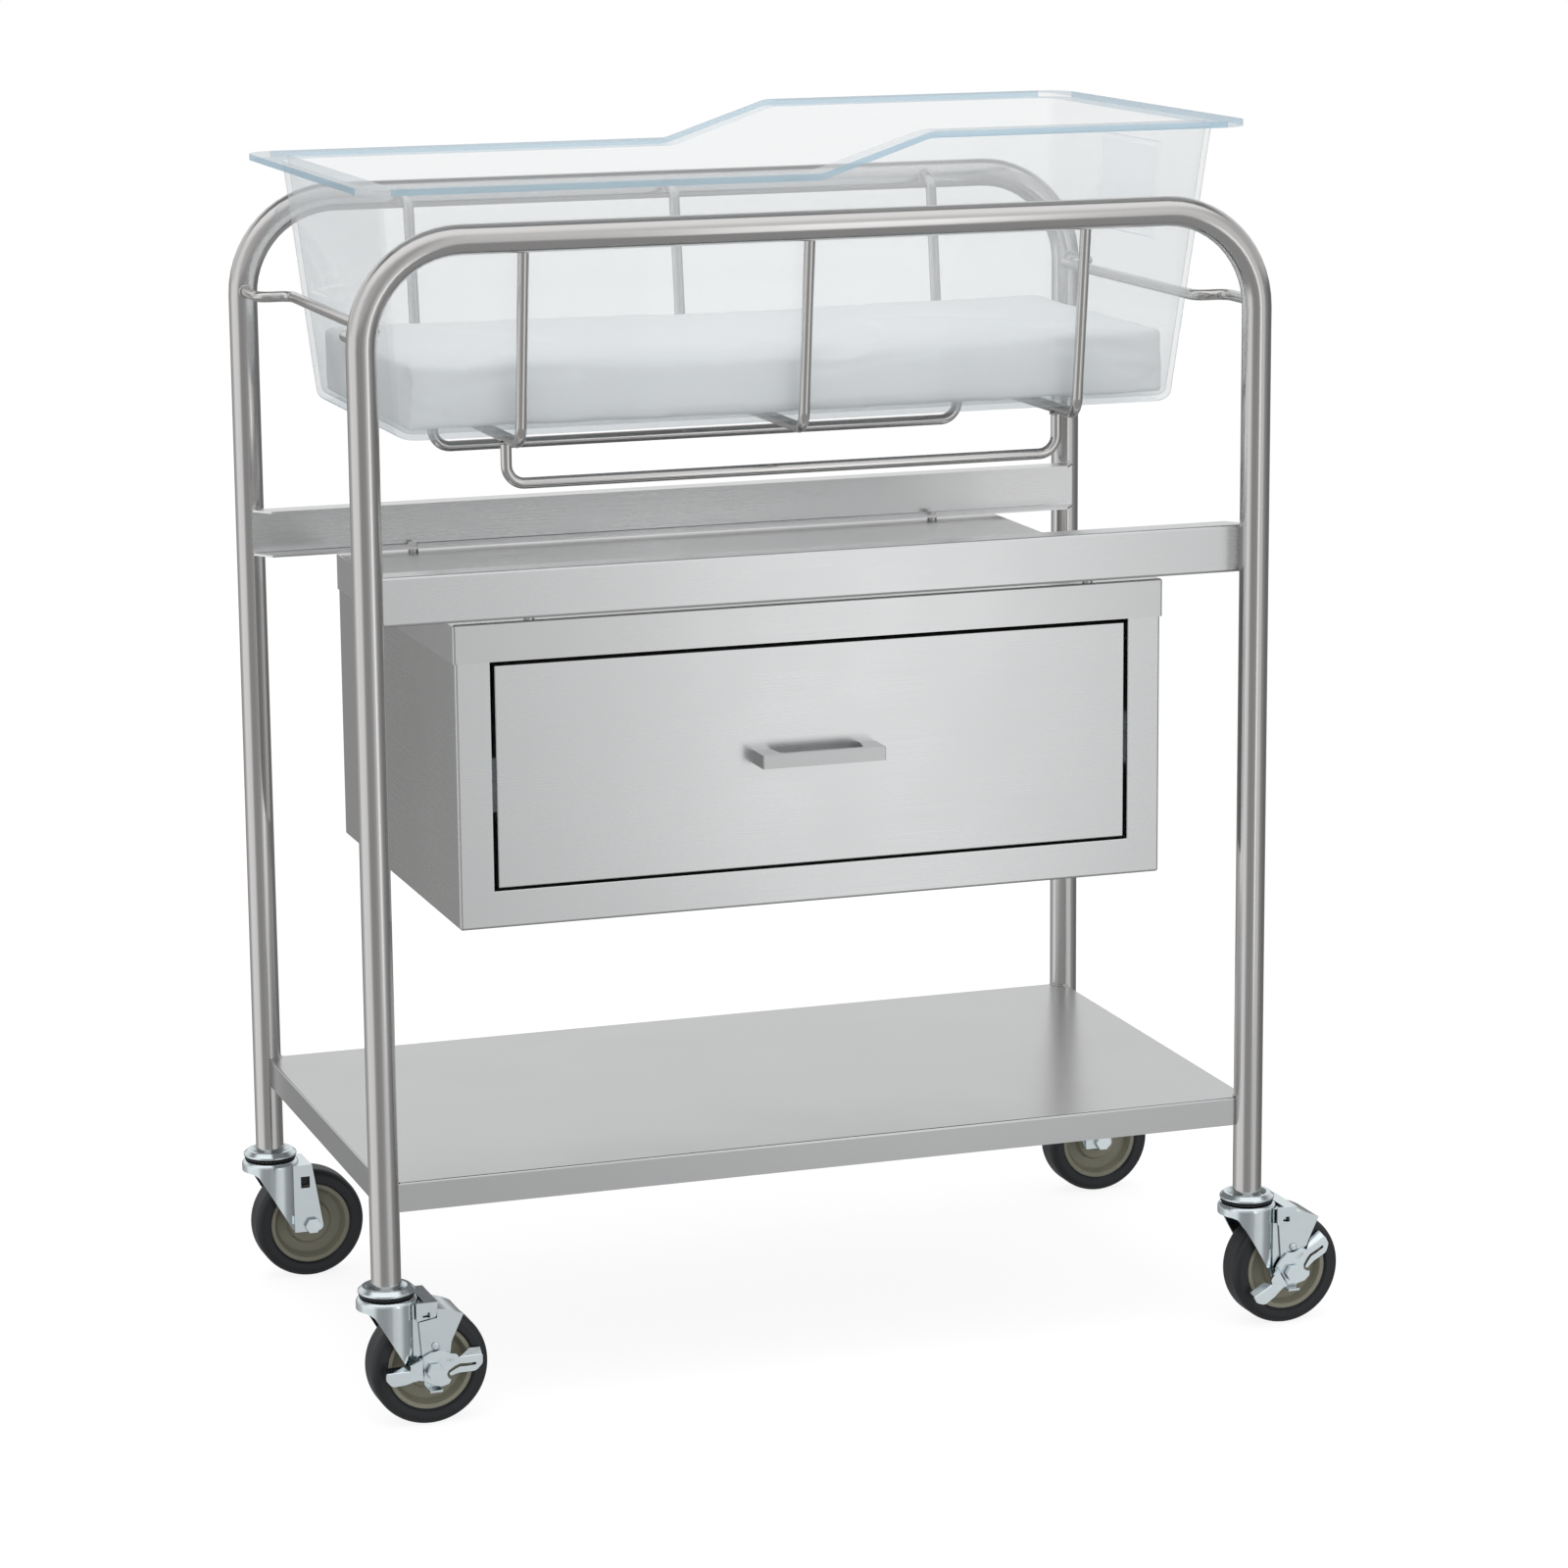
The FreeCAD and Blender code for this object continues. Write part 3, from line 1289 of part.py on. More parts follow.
LEFT_ARM = [
    (-12.0, -5.4),
    (-19.2, -6.4, 8.0),
    (-26.0, -8.2, 8.0),
    (-37.6, -9.0, 6.0),
    (-43.0, -2.6, 5.0),
    (-42.6, 2.6, 1.0),
    (-22.4, 2.4, 2.0),
    (-21.0, 7.4, 2.0),
    (-12.0, 11.4),
]
PAD_DEEP = 6.5


def lever_plate(corners, face):
    return prism("XZ", [(c[0] + ZERO,) + tuple(c[1:]) for c in corners], -face - S.lever_sheet, -face)


def lever_pad(inner, outer, taper, face, fold, rise):
    """A pad folded back over the arm's upper edge, rising towards the wheel and tapered at its inner end."""
    front = ZERO - face - S.lever_sheet
    back = front + PAD_DEEP + 1.0
    profile = [
        (front, ZERO + fold - 3.0),
        (front, ZERO + fold, 1.0),
        (front + PAD_DEEP, ZERO + fold + rise),
        (back, ZERO + fold + rise - 2.2),
        (front + 2.4, ZERO + fold - 3.0),
    ]
    plan = [(inner, front), (outer, front), (outer, back), (inner + taper, back)]
    bar = prism("YZ", profile, ZERO + min(inner, outer), ZERO + max(inner, outer))
    return common(bar, prism("XY", plan, ZERO + fold - 4.0, ZERO + fold + rise + 1.0))


def brake_lever():
    """A stamped rocker about the axle: hub and right arm flat, left arm stepped out, two pads."""
    arm_face = LEVER_FACE + ARM_STEP
    hub = lever_plate(LEVER_HUB, LEVER_FACE)
    left = lever_plate(LEFT_ARM, arm_face)
    step = prism(
        "XY",
        [
            (ZERO - 8.5, -LEVER_FRONT),
            (ZERO - 8.5, -LEVER_FACE),
            (ZERO - 11.0, -LEVER_FACE),
            (ZERO - 13.0, -arm_face),
            (ZERO - 13.0, -arm_face - S.lever_sheet),
            (ZERO - 11.0, -arm_face - S.lever_sheet),
        ],
        ZERO - 6.4,
        ZERO + 11.6,
    )
    pads = join(
        lever_pad(-22.4, -42.0, -5.0, arm_face, 3.0, 3.2),
        lever_pad(22.4, 42.0, 12.0, LEVER_FACE, 9.4, 4.6),
    )
    bore = rod("Y", S.axle_radius + S.running_fit, -arm_face - 10, -LEVER_FACE + 1)
    return cut(join(hub, left, step, pads), bore)


def swivel_balls():
    """Twelve balls in the swivel race of each caster."""
    balls = []
    for sx, sy in CASTERS.values():
        for i in range(12):
            angle = math.radians(30 * i)
            ball = doc.addObject("Part::Sphere", "Ball")
            bind(ball, "Radius", S.ball_radius)
            bind(ball, "Placement.Base.x", sx * LEG_X + S.race_radius * math.cos(angle))
            bind(ball, "Placement.Base.y", sy * LEG_Y + S.race_radius * math.sin(angle))
            bind(ball, "Placement.Base.z", RACE_Z)
            balls.append(ball)
    return group(*balls)


name("swivel_balls", swivel_balls())

for caster in CASTERS:
    braked = caster in BRAKED
    at_leg(f"{caster}_caster_cap", caster_cap(), caster)
    at_leg(f"{caster}_yoke", yoke(), caster)
    at_leg(f"{caster}_axle", axle_set(LEVER_STACK + S.seat_gap if braked else ZERO), caster)
    on_axle(f"{caster}_tread", wheel_tread(), caster)
    on_axle(f"{caster}_wheel_core", wheel_core(), caster)
    if braked:
        share = BRAKED[caster]
        at_leg(f"{caster}_brake_bracket", brake_bracket(), caster)
        at_leg(f"{caster}_brake_shoe", brake_shoe(share * S.brake_lift), caster)
        lever = group(brake_lever())
        lever.Placement.Rotation = Rotation(Vector(0, -1, 0), share * S.brake_angle.number)
        on_axle(f"{caster}_brake_lever", lever, caster)

# ---------------------------------------------------------------- check and write

doc.recompute()
for obj in doc.Objects:
    if "Invalid" in obj.State or "Error" in obj.State:
        raise RuntimeError(f"{obj.Label} ({obj.TypeId}) failed: {obj.State}")
for label, obj in parts.items():
    if obj.Shape.isNull() or not obj.Shape.isValid():
        raise RuntimeError(f"{label} has no valid shape")
    if not obj.Shape.Solids:
        raise RuntimeError(f"{label} holds no solid")

os.makedirs("parts", exist_ok=True)
for label, obj in parts.items():
    obj.Shape.exportStep(f"parts/{label}.step")
    print(f"{label}: {len(obj.Shape.Solids)} solid, {obj.Shape.Volume / 1000:.2f} cm3")
print(f"{len(parts)} nodes")
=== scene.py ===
"""Looks of the hospital bassinet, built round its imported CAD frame."""
import math
import random

import bmesh
import bpy
from mathutils import Matrix, Vector, noise


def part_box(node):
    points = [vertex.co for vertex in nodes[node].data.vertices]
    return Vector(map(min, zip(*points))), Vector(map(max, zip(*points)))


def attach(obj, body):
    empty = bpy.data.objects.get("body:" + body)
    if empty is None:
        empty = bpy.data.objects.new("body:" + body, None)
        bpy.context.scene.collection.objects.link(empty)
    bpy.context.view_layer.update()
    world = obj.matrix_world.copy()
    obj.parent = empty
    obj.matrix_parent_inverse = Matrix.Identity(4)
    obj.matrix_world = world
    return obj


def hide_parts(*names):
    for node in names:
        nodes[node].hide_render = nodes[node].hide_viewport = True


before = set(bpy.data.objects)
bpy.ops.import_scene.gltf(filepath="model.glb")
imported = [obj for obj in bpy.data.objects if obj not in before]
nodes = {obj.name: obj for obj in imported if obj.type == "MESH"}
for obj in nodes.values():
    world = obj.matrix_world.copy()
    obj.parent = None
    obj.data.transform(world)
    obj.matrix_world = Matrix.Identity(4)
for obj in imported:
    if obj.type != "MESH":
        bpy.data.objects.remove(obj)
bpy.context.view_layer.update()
scene = bpy.context.scene

# ---------------------------------------------------------------- camera, floor and light

# A long lens, a little above the tub's rim, looks at the drawer side from the foot end.
# The floor is white paper, and soft boxes stand round the bassinet in a white studio.
yaw, pitch, roll = (math.radians(angle) for angle in (-18.6155, -11.8907, -0.5165))
eye = (-1.34895, -4.02420, 1.37041)
ahead = Vector((
    -math.sin(yaw) * math.cos(pitch),
    math.cos(yaw) * math.cos(pitch),
    math.sin(pitch),
))
level = Vector((math.cos(yaw), math.sin(yaw), 0))
above = level.cross(ahead)
right = math.cos(roll) * level + math.sin(roll) * above
up = math.cos(roll) * above - math.sin(roll) * level
lens = bpy.data.cameras.new("camera")
lens.sensor_width = 36
lens.lens = 111.48
lens.clip_end = 60
camera = bpy.data.objects.new("camera", lens)
camera.matrix_world = (
    Matrix.Translation(eye) @ Matrix((right, up, -ahead)).transposed().to_4x4()
)
scene.collection.objects.link(camera)
scene.camera = camera
scene.view_settings.view_transform = "Standard"


class Wire:
    """A value inside a material or the world; arithmetic on it adds Math nodes."""

    def __init__(self, finish, socket):
        self.finish = finish
        self.socket = socket

    def maths(self, operation, *values):
        return self.finish.node("ShaderNodeMath", {"operation": operation}, values)

    def __add__(self, other):
        return self.maths("ADD", self, other)

    def __sub__(self, other):
        return self.maths("SUBTRACT", self, other)

    def __rsub__(self, other):
        return self.maths("SUBTRACT", other, self)

    def __mul__(self, other):
        return self.maths("MULTIPLY", self, other)

    __radd__ = __add__
    __rmul__ = __mul__


class Finish:
    """A material, or the world, put together from nodes."""

    def __init__(self, owner):
        self.owner = owner
        owner.use_nodes = True
        self.tree = owner.node_tree
        self.tree.nodes.clear()

    def node(self, kind, settings=None, sockets=(), out=0):
        """Adds a node, sets it up, fills its sockets and gives back one of its outputs."""
        made = self.tree.nodes.new(kind)
        for key, value in (settings or {}).items():
            if key != "stops":
                setattr(made, key, value)
                continue
            ramp = made.color_ramp
            ramp.interpolation = "EASE"
            while len(ramp.elements) < len(value):
                ramp.elements.new(0.5)
            for element, (place, shade) in zip(ramp.elements, value):
                element.position = place
                element.color = (shade, shade, shade, 1)
        pairs = sockets.items() if isinstance(sockets, dict) else enumerate(sockets)
        for key, value in pairs:
            if isinstance(value, Wire):
                self.tree.links.new(value.socket, made.inputs[key])
            else:
                made.inputs[key].default_value = value
        return Wire(self, made.outputs[out])

    def mix(self, share, first, second):
        """Colours mixed by a share."""
        sockets = {0: share, 6: first, 7: second}
        return self.node("ShaderNodeMix", {"data_type": "RGBA"}, sockets, out=2)

    def ramp(self, value, *stops):
        return self.node("ShaderNodeValToRGB", {"stops": stops}, {"Fac": value})

    def end(self, shader, kind="ShaderNodeOutputMaterial"):
        last = self.tree.nodes.new(kind)
        self.tree.links.new(shader.socket, last.inputs["Surface"])
        return self.owner


# The studio is white to the eye and through glass; metal sees soft boxes with dark between them.
WHITE = (1, 1, 1, 1)
ROOM_GREY = (0.70, 0.70, 0.70, 1)
GROUND_GREY = (0.34, 0.34, 0.34, 1)
studio = Finish(bpy.data.worlds.new("studio"))
way = studio.node("ShaderNodeTexCoord", out="Generated")


def along(direction):
    """How far the way looked in runs along a direction, from -1 to 1."""
    settings = {"operation": "DOT_PRODUCT"}
    return studio.node("ShaderNodeVectorMath", settings, (way, direction), out="Value")


towards = Vector((camera.location.x, camera.location.y, 0)).normalized()
aside = Vector((-towards.y, towards.x, 0))
turn = studio.node("ShaderNodeMath", {"operation": "ARCTAN2"}, (along(aside), along(towards)))
turn = turn * (0.5 / math.pi) + 0.5
rise = along(Vector((0, 0, 1)))


def ring(*stops):
    """Brightness round the horizon: degrees to the right of the camera, and brightness."""
    return studio.ramp(turn, *[((degrees + 180) / 360, shade) for degrees, shade in stops])


lower_walls = ring(
    (-180, 0.22), (-150, 0.32), (-115, 0.50), (-90, 0.95), (-50, 0.90), (-25, 0.34), (0, 0.33),
    (20, 0.41), (34, 0.70), (54, 0.755), (76, 0.32), (110, 0.19), (160, 0.22), (180, 0.22),
)
upper_walls = ring(
    (-180, 0.86), (-140, 0.80), (-100, 0.70), (-60, 0.95), (-20, 0.55), (15, 0.45),
    (40, 0.80), (80, 0.55), (120, 0.60), (150, 0.80), (180, 0.86),
)
roof = studio.ramp(
    along(towards) * 0.5 + 0.5,
    (0.0, 0.25), (0.42, 0.22), (0.52, 1.1), (0.72, 1.05), (1.0, 0.6),
)
walls = studio.mix(studio.ramp(rise, (0.0, 0.0), (0.12, 1.0)), lower_walls, upper_walls)
reflected = studio.mix(studio.ramp(rise, (0.45, 0.0), (0.72, 1.0)), walls, roof)
reflected = studio.mix(
    studio.ramp(rise * -1.0, (0.25, 0.0), (0.5, 1.0)), reflected, GROUND_GREY
)
ray = {
    name: studio.node("ShaderNodeLightPath", out=f"Is {name} Ray")
    for name in ("Camera", "Glossy", "Transmission")
}
to_the_eye = studio.node(
    "ShaderNodeMath", {"operation": "MAXIMUM"}, (ray["Camera"], ray["Transmission"])
)
light = studio.mix(ray["Glossy"], ROOM_GREY, reflected)
light = studio.mix(to_the_eye, light, WHITE)
scene.world = studio.end(
    studio.node("ShaderNodeBackground", {}, (light, 1.0)), "ShaderNodeOutputWorld"
)


def softbox(label, watts, size, place, target=(0, 0, 0.6), mirrored=False):
    """A soft box aimed at a point; metal mirrors it only where that is asked for."""
    lamp = bpy.data.lights.new(label, "AREA")
    lamp.shape = "RECTANGLE"
    lamp.size, lamp.size_y = size
    lamp.energy = watts
    box = bpy.data.objects.new(label, lamp)
    box.location = place
    box.rotation_euler = (Vector(target) - Vector(place)).to_track_quat("-Z", "Y").to_euler()
    box.visible_glossy = mirrored
    box.visible_camera = False
    scene.collection.objects.link(box)


softbox("top_box", 31, (2.6, 2.6), (-0.3, -0.6, 3.2))
softbox("front_box", 11, (2.0, 1.6), (0.2, -3.6, 1.5))
softbox("strip_box", 1.35, (0.40, 1.7), (0.72, -2.2, 0.62), (-0.03, -0.2, 0.62), mirrored=True)

bpy.ops.mesh.primitive_plane_add(size=14, location=(0, 0, 0))
floor = bpy.context.object
floor.name = "floor"
floor.visible_glossy = False
paper = Finish(bpy.data.materials.new("studio_floor"))
looked_at = paper.node(
    "ShaderNodeMath",
    {"operation": "MAXIMUM"},
    (
        paper.node("ShaderNodeLightPath", out="Is Camera Ray"),
        paper.node("ShaderNodeLightPath", out="Is Transmission Ray"),
    ),
)
lit = paper.node("ShaderNodeBsdfDiffuse", {}, {"Color": (0.8, 0.8, 0.8, 1)})
glow = paper.node("ShaderNodeEmission", {}, {"Color": WHITE, "Strength": 0.87})
shaded = paper.node("ShaderNodeBsdfDiffuse", {}, {"Color": (0.22, 0.22, 0.22, 1)})
shown = paper.node("ShaderNodeAddShader", {}, (glow, shaded))
floor.data.materials.append(
    paper.end(paper.node("ShaderNodeMixShader", {}, (looked_at, lit, shown)))
)

# ---------------------------------------------------------------- frame of bent tube and rods

# Two hoops of 1 in stainless tube, bent cold and polished to a satin, stand on the casters.
# Bent rods welded to the hoops cradle the tub and carry a rack under it.
POLISHED = (500, 500, 500)
POLISH_DEPTH = 0.000006


def satin(label, colour, grain, rough, streak=0.05, coarse=9.0, depth=0.00003, level=None):
    """Stainless steel with a fine grain: lines per metre along X, Y and Z.

    Its streaks lighten and darken the colour by a share, over a coarser cloud. The level, where
    given, is a grey painted on faces that look up, as painted light on the tops; without it they
    keep the colour.
    """
    finish = Finish(bpy.data.materials.new(label))
    place = finish.node("ShaderNodeTexCoord", out="Object")
    drawn = finish.node("ShaderNodeMapping", {}, {"Vector": place, "Scale": grain})
    lines = finish.node(
        "ShaderNodeTexNoise", {}, {"Vector": drawn, "Scale": 1.0, "Detail": 3.0}
    )
    cloud = finish.node(
        "ShaderNodeTexNoise", {}, {"Vector": place, "Scale": coarse, "Detail": 2.0}
    )
    dark, pale = (
        tuple(channel * share for channel in colour) + (1,) for share in (1 - streak, 1 + streak)
    )
    tone = finish.mix(lines * 0.7 + cloud * 0.3, dark, pale)
    # Painted light: faces that look up get a flat grey in place of the steel's colour, standing in
    # for the light on the tops.
    if level:
        facing = finish.node("ShaderNodeTexCoord", out="Normal")
        upward = finish.node("ShaderNodeSeparateXYZ", {}, {0: facing}, out=2)
        painted_top_light_mask = finish.ramp(upward, (0.6, 0.0), (0.9, 1.0))
        tone = finish.mix(painted_top_light_mask, tone, (level, level, level, 1))
    return finish.end(finish.node("ShaderNodeBsdfPrincipled", {}, {
        "Base Color": tone,
        "Metallic": 1.0,
        "Roughness": rough + (lines - 0.5) * 0.06 + (cloud - 0.5) * 0.06,
        "Normal": finish.node(
            "ShaderNodeBump", {}, {"Strength": 0.6, "Distance": depth, "Height": lines}
        ),
    }))


def coat(material, *names):
    """Gives a finish to CAD nodes."""
    for label in names:
        for slot in nodes[label].material_slots:
            slot.material = material


tube_steel = satin(
    "tube_steel", (0.64, 0.63, 0.625), POLISHED, 0.16, 0.02, depth=POLISH_DEPTH
)
rod_steel = satin("rod_steel", (0.66, 0.65, 0.64), POLISHED, 0.17, 0.02, depth=POLISH_DEPTH)
coat(tube_steel, "front_frame_tube", "rear_frame_tube")
coat(
    rod_steel, "foot_end_bar", "head_end_bar", "foot_cradle_rod", "middle_cradle_rod",
    "head_cradle_rod", "front_rack_rod", "rear_rack_rod",
)

# ---------------------------------------------------------------- rails, shelf, cabinet and drawer

# Rails, shelf, cabinet and drawer are folded from stainless sheet with a fine drawn grain.
# Rails and shelf are welded to the legs, and the cabinet hangs from the rails on bolts with
# spacers. Its drawer has a bar handle, held by screws from inside.
LENGTHWAYS = (9, 1900, 1900)
SIDEWAYS = (1900, 9, 1900)


def sheet(label, colour, grain, rough, level=None):
    """Stainless sheet, with a grain too shallow to be felt."""
    return satin(label, colour, grain, rough, 0.009, depth=0.0000016, level=level)


def ease_edges(width, *names):
    """Breaks the sharp edges of CAD nodes, which catches the light along them."""
    for label in names:
        ease = nodes[label].modifiers.new("eased_edges", "BEVEL")
        ease.width = width
        ease.segments = 2
        ease.limit_method = "ANGLE"
        ease.angle_limit = math.radians(38)
        ease.harden_normals = True


# These parts are all the one stainless sheet, but the shelf, lid, rear rail and the shell, drawer
# box and slide brackets get lit and shaded copies of its grey: painted shade darkens the shelf, the
# lid's faces and the shell, and painted light brightens the rear rail and the lid's tops. The
# shell's grain running sideways is its own.
sheet_steel = sheet("sheet_steel", (0.735, 0.745, 0.75), LENGTHWAYS, 0.28)
shelf_steel_painted_shade = sheet("shelf_steel_painted_shade", (0.60, 0.605, 0.61), LENGTHWAYS, 0.25)
lid_steel_painted_light_and_shade = sheet("lid_steel_painted_light_and_shade", (0.70, 0.705, 0.71), LENGTHWAYS, 0.26, level=0.78)
rear_steel_painted_light = sheet("rear_steel_painted_light", (0.81, 0.815, 0.82), LENGTHWAYS, 0.28)
side_steel_painted_shade = sheet("side_steel_painted_shade", (0.62, 0.62, 0.615), SIDEWAYS, 0.27)
handle_steel = satin(
    "handle_steel", (0.62, 0.625, 0.63), LENGTHWAYS, 0.34, 0.02, depth=POLISH_DEPTH
)
coat(sheet_steel, "front_cabinet_rail", "cabinet_face_frame", "drawer_front")
coat(shelf_steel_painted_shade, "lower_shelf")
coat(lid_steel_painted_light_and_shade, "cabinet_lid")
coat(rear_steel_painted_light, "rear_cabinet_rail")
coat(side_steel_painted_shade, "cabinet_shell", "drawer_box", "slide_brackets")
coat(rod_steel, "cabinet_bolts", "cabinet_spacers")
coat(handle_steel, "drawer_handle")
ease_edges(0.0004, "drawer_handle")

# ---------------------------------------------------------------- welds

# Every joint in the frame is a small hand-laid bead, brushed afterwards so that it hardly shows.
# Rings run round the rod ends, short runs along the rails and quarter turns round the legs.
random.seed(7)
leg_x, leg_y, tube_r = 0.3937, 0.219, 0.0127
frame_low, frame_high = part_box("front_frame_tube")
mid_x = (frame_low[0] + frame_high[0]) / 2
face_y = leg_y - tube_r
cradle_x, cradle_z, cradle_ring = 0.248, 0.9949, 0.0052
rack_y, rack_z, rack_ring = 0.122, 0.8140, 0.0050
end_bar_z, shelf_z, leg_gap = 0.9146, 0.2096, 0.0003
rail_z, rail_run = 0.6805, 0.0385
rail_end, rail_step = 0.0056, 0.0009
STEPS = 28
RAIL_STEPS = 30

line = bpy.data.curves.new("frame_welds", "CURVE")
line.dimensions = "3D"
line.bevel_depth = 0.0011
line.bevel_resolution = 3


def bead(points, closed=False):
    """A run of weld metal with its ripples."""
    run = line.splines.new("POLY")
    run.points.add(len(points) - 1)
    for spot, point in zip(run.points, points):
        spot.co = (*point, 1)
        spot.radius = random.uniform(0.8, 1.15)
    run.use_cyclic_u = closed


def arc_bead(middle, radius, axis, sweep=360):
    """A bead round Y or Z, or round a leg from the side that a pair of signs points to."""
    x, y, z = middle
    closed = sweep == 360
    turned = [math.radians(sweep * i / STEPS) for i in range(STEPS if closed else STEPS + 1)]
    if axis == "Y":
        points = [(x + radius * math.cos(t), y, z + radius * math.sin(t)) for t in turned]
    elif axis == "Z":
        points = [(x + radius * math.cos(t), y + radius * math.sin(t), z) for t in turned]
    else:
        sx, sy = axis
        points = [
            (x + sx * radius * math.cos(t), y + sy * radius * math.sin(t), z) for t in turned
        ]
    bead(points, closed)


for x in (-cradle_x, 0.0, cradle_x):
    for sy in (-1, 1):
        arc_bead((mid_x + x, sy * face_y, cradle_z), cradle_ring, "Y")
        if x:
            arc_bead((mid_x + x, sy * rack_y, rack_z), rack_ring, "Z")
for sx in (-1, 1):
    for sy in (-1, 1):
        leg = mid_x + sx * leg_x
        arc_bead((leg, sy * face_y, end_bar_z), cradle_ring, "Y")
        arc_bead((leg, sy * leg_y, shelf_z), tube_r + leg_gap, (-sx, -sy), 90)
for sx in (-1, 1):
    for sy in (-1, 1):
        x, y = mid_x + sx * (leg_x - rail_end), sy * (face_y + rail_step)
        bead([(x, y, rail_z + rail_run * i / RAIL_STEPS) for i in range(RAIL_STEPS + 1)])
welds = bpy.data.objects.new("frame_welds", line)
scene.collection.objects.link(welds)
line.materials.append(
    satin("weld_metal", (0.60, 0.59, 0.575), (600, 600, 600), 0.30, 0.10, 200.0, 0.0001)
)
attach(welds, "carrier")

# ---------------------------------------------------------------- casters, brakes and slides

# A caster is a cap, a ball race and a yoke pressed from zinc-plated steel with a blue passivate.
# A charcoal tread runs on an olive-grey core, which turns on a plated axle bolted in the yoke.
# The brakes on the front pair, the drawer slides and the handle's screws are plated the same way.


def plated(label, level, rough):
    """Zinc plate with a blue passivate, with painted shade where pieces meet."""
    zinc = Finish(bpy.data.materials.new(label))
    place = zinc.node("ShaderNodeTexCoord", out="Object")
    cloud, speck, wave = (
        zinc.node("ShaderNodeTexNoise", {}, {"Vector": place, "Scale": scale, "Detail": detail})
        for scale, detail in ((60.0, 4.0), (900.0, 2.0), (70.0, 1.0))
    )
    pressed = zinc.node(
        "ShaderNodeBump", {}, {"Strength": 0.5, "Distance": 0.0002, "Height": wave}
    )
    pale = zinc.mix(
        cloud,
        (0.70 * level, 0.79 * level, 0.83 * level, 1),
        (0.80 * level, 0.86 * level, 0.88 * level, 1),
    )
    # Painted shade: the colour falls to near black where the occlusion node finds other pieces
    # close by.
    ao_for_painted_shade = zinc.node("ShaderNodeAmbientOcclusion", {"samples": 6}, {"Distance": 0.004}, out="AO")
    clear_of_painted_shade = zinc.ramp(ao_for_painted_shade, (0.15, 0.0), (0.75, 1.0))
    return zinc.end(zinc.node("ShaderNodeBsdfPrincipled", {}, {
        "Base Color": zinc.mix(clear_of_painted_shade, (0.07, 0.09, 0.10, 1), pale),
        "Metallic": 1.0,
        "Roughness": rough + (cloud - 0.5) * 0.10,
        "Normal": zinc.node("ShaderNodeBump", {}, {
            "Strength": 0.35, "Distance": 0.00006, "Height": speck, "Normal": pressed,
        }),
    }))


def moulded(label, dark, pale, scale, detail, rough, spread):
    """Rubber or plastic with a slightly uneven colour and gloss."""
    finish = Finish(bpy.data.materials.new(label))
    place = finish.node("ShaderNodeTexCoord", out="Object")
    cloud = finish.node(
        "ShaderNodeTexNoise", {}, {"Vector": place, "Scale": scale, "Detail": detail}
    )
    return finish.end(finish.node("ShaderNodeBsdfPrincipled", {}, {
        "Base Color": finish.mix(cloud, dark, pale),
        "Roughness": rough + cloud * spread,
        "IOR": 1.5,
    }))


# The lever, the axle and the words on the lever get a copy of the zinc that is smoother, which is
# their own finish, and lighter in colour, which is painted light to set them apart from the yoke.
zinc_plate = plated("zinc", 1.0, 0.16)
smooth_zinc_painted_light = plated("smooth_zinc_painted_light", 1.09, 0.12)
charcoal = moulded(
    "charcoal", (0.010, 0.012, 0.015, 1), (0.020, 0.022, 0.026, 1), 35.0, 4.0, 0.36, 0.2
)
olive = moulded("olive", (0.24, 0.232, 0.175, 1), (0.31, 0.30, 0.23, 1), 28.0, 3.0, 0.42, 0.15)
PLATED = ("_caster_cap", "_yoke", "_axle", "_brake_", "slide_", "balls", "screws")
for name in nodes:
    if name.endswith("_tread"):
        coat(charcoal, name)
    elif name.endswith("_wheel_core"):
        coat(olive, name)
    elif name != "slide_brackets" and any(word in name for word in PLATED):
        coat(smooth_zinc_painted_light if "_lever" in name or "_axle" in name else zinc_plate, name)
        if "_yoke" in name:
            ease_edges(0.0003, name)
        elif "_brake_" in name or "_axle" in name:
            ease_edges(0.00055, name)

# ---------------------------------------------------------------- dust rings

# A toothed steel ring keeps dirt out of each caster's swivel race; its near-black is painted shade
# of the gap it fills.
# It is pressed in between the fixed cap and the dome, and stays still as the caster turns.
RING_PROFILE = (  # radius and height, from the inside of the ring's lower edge round to its top
    (0.0212, 0.1139), (0.0233, 0.1141), (0.0236, 0.1150), (0.0230, 0.1157), (0.0212, 0.1157),
)
RING_STEPS = 144
TOOTH_DEPTH = 0.0007
PLAIN_WITHIN = 0.022


def toothed(radius, step):
    """The radius at a step, with every other pair of steps cut back on the ring's outside."""
    return radius - TOOTH_DEPTH * (step % 4 > 1 and radius > PLAIN_WITHIN)


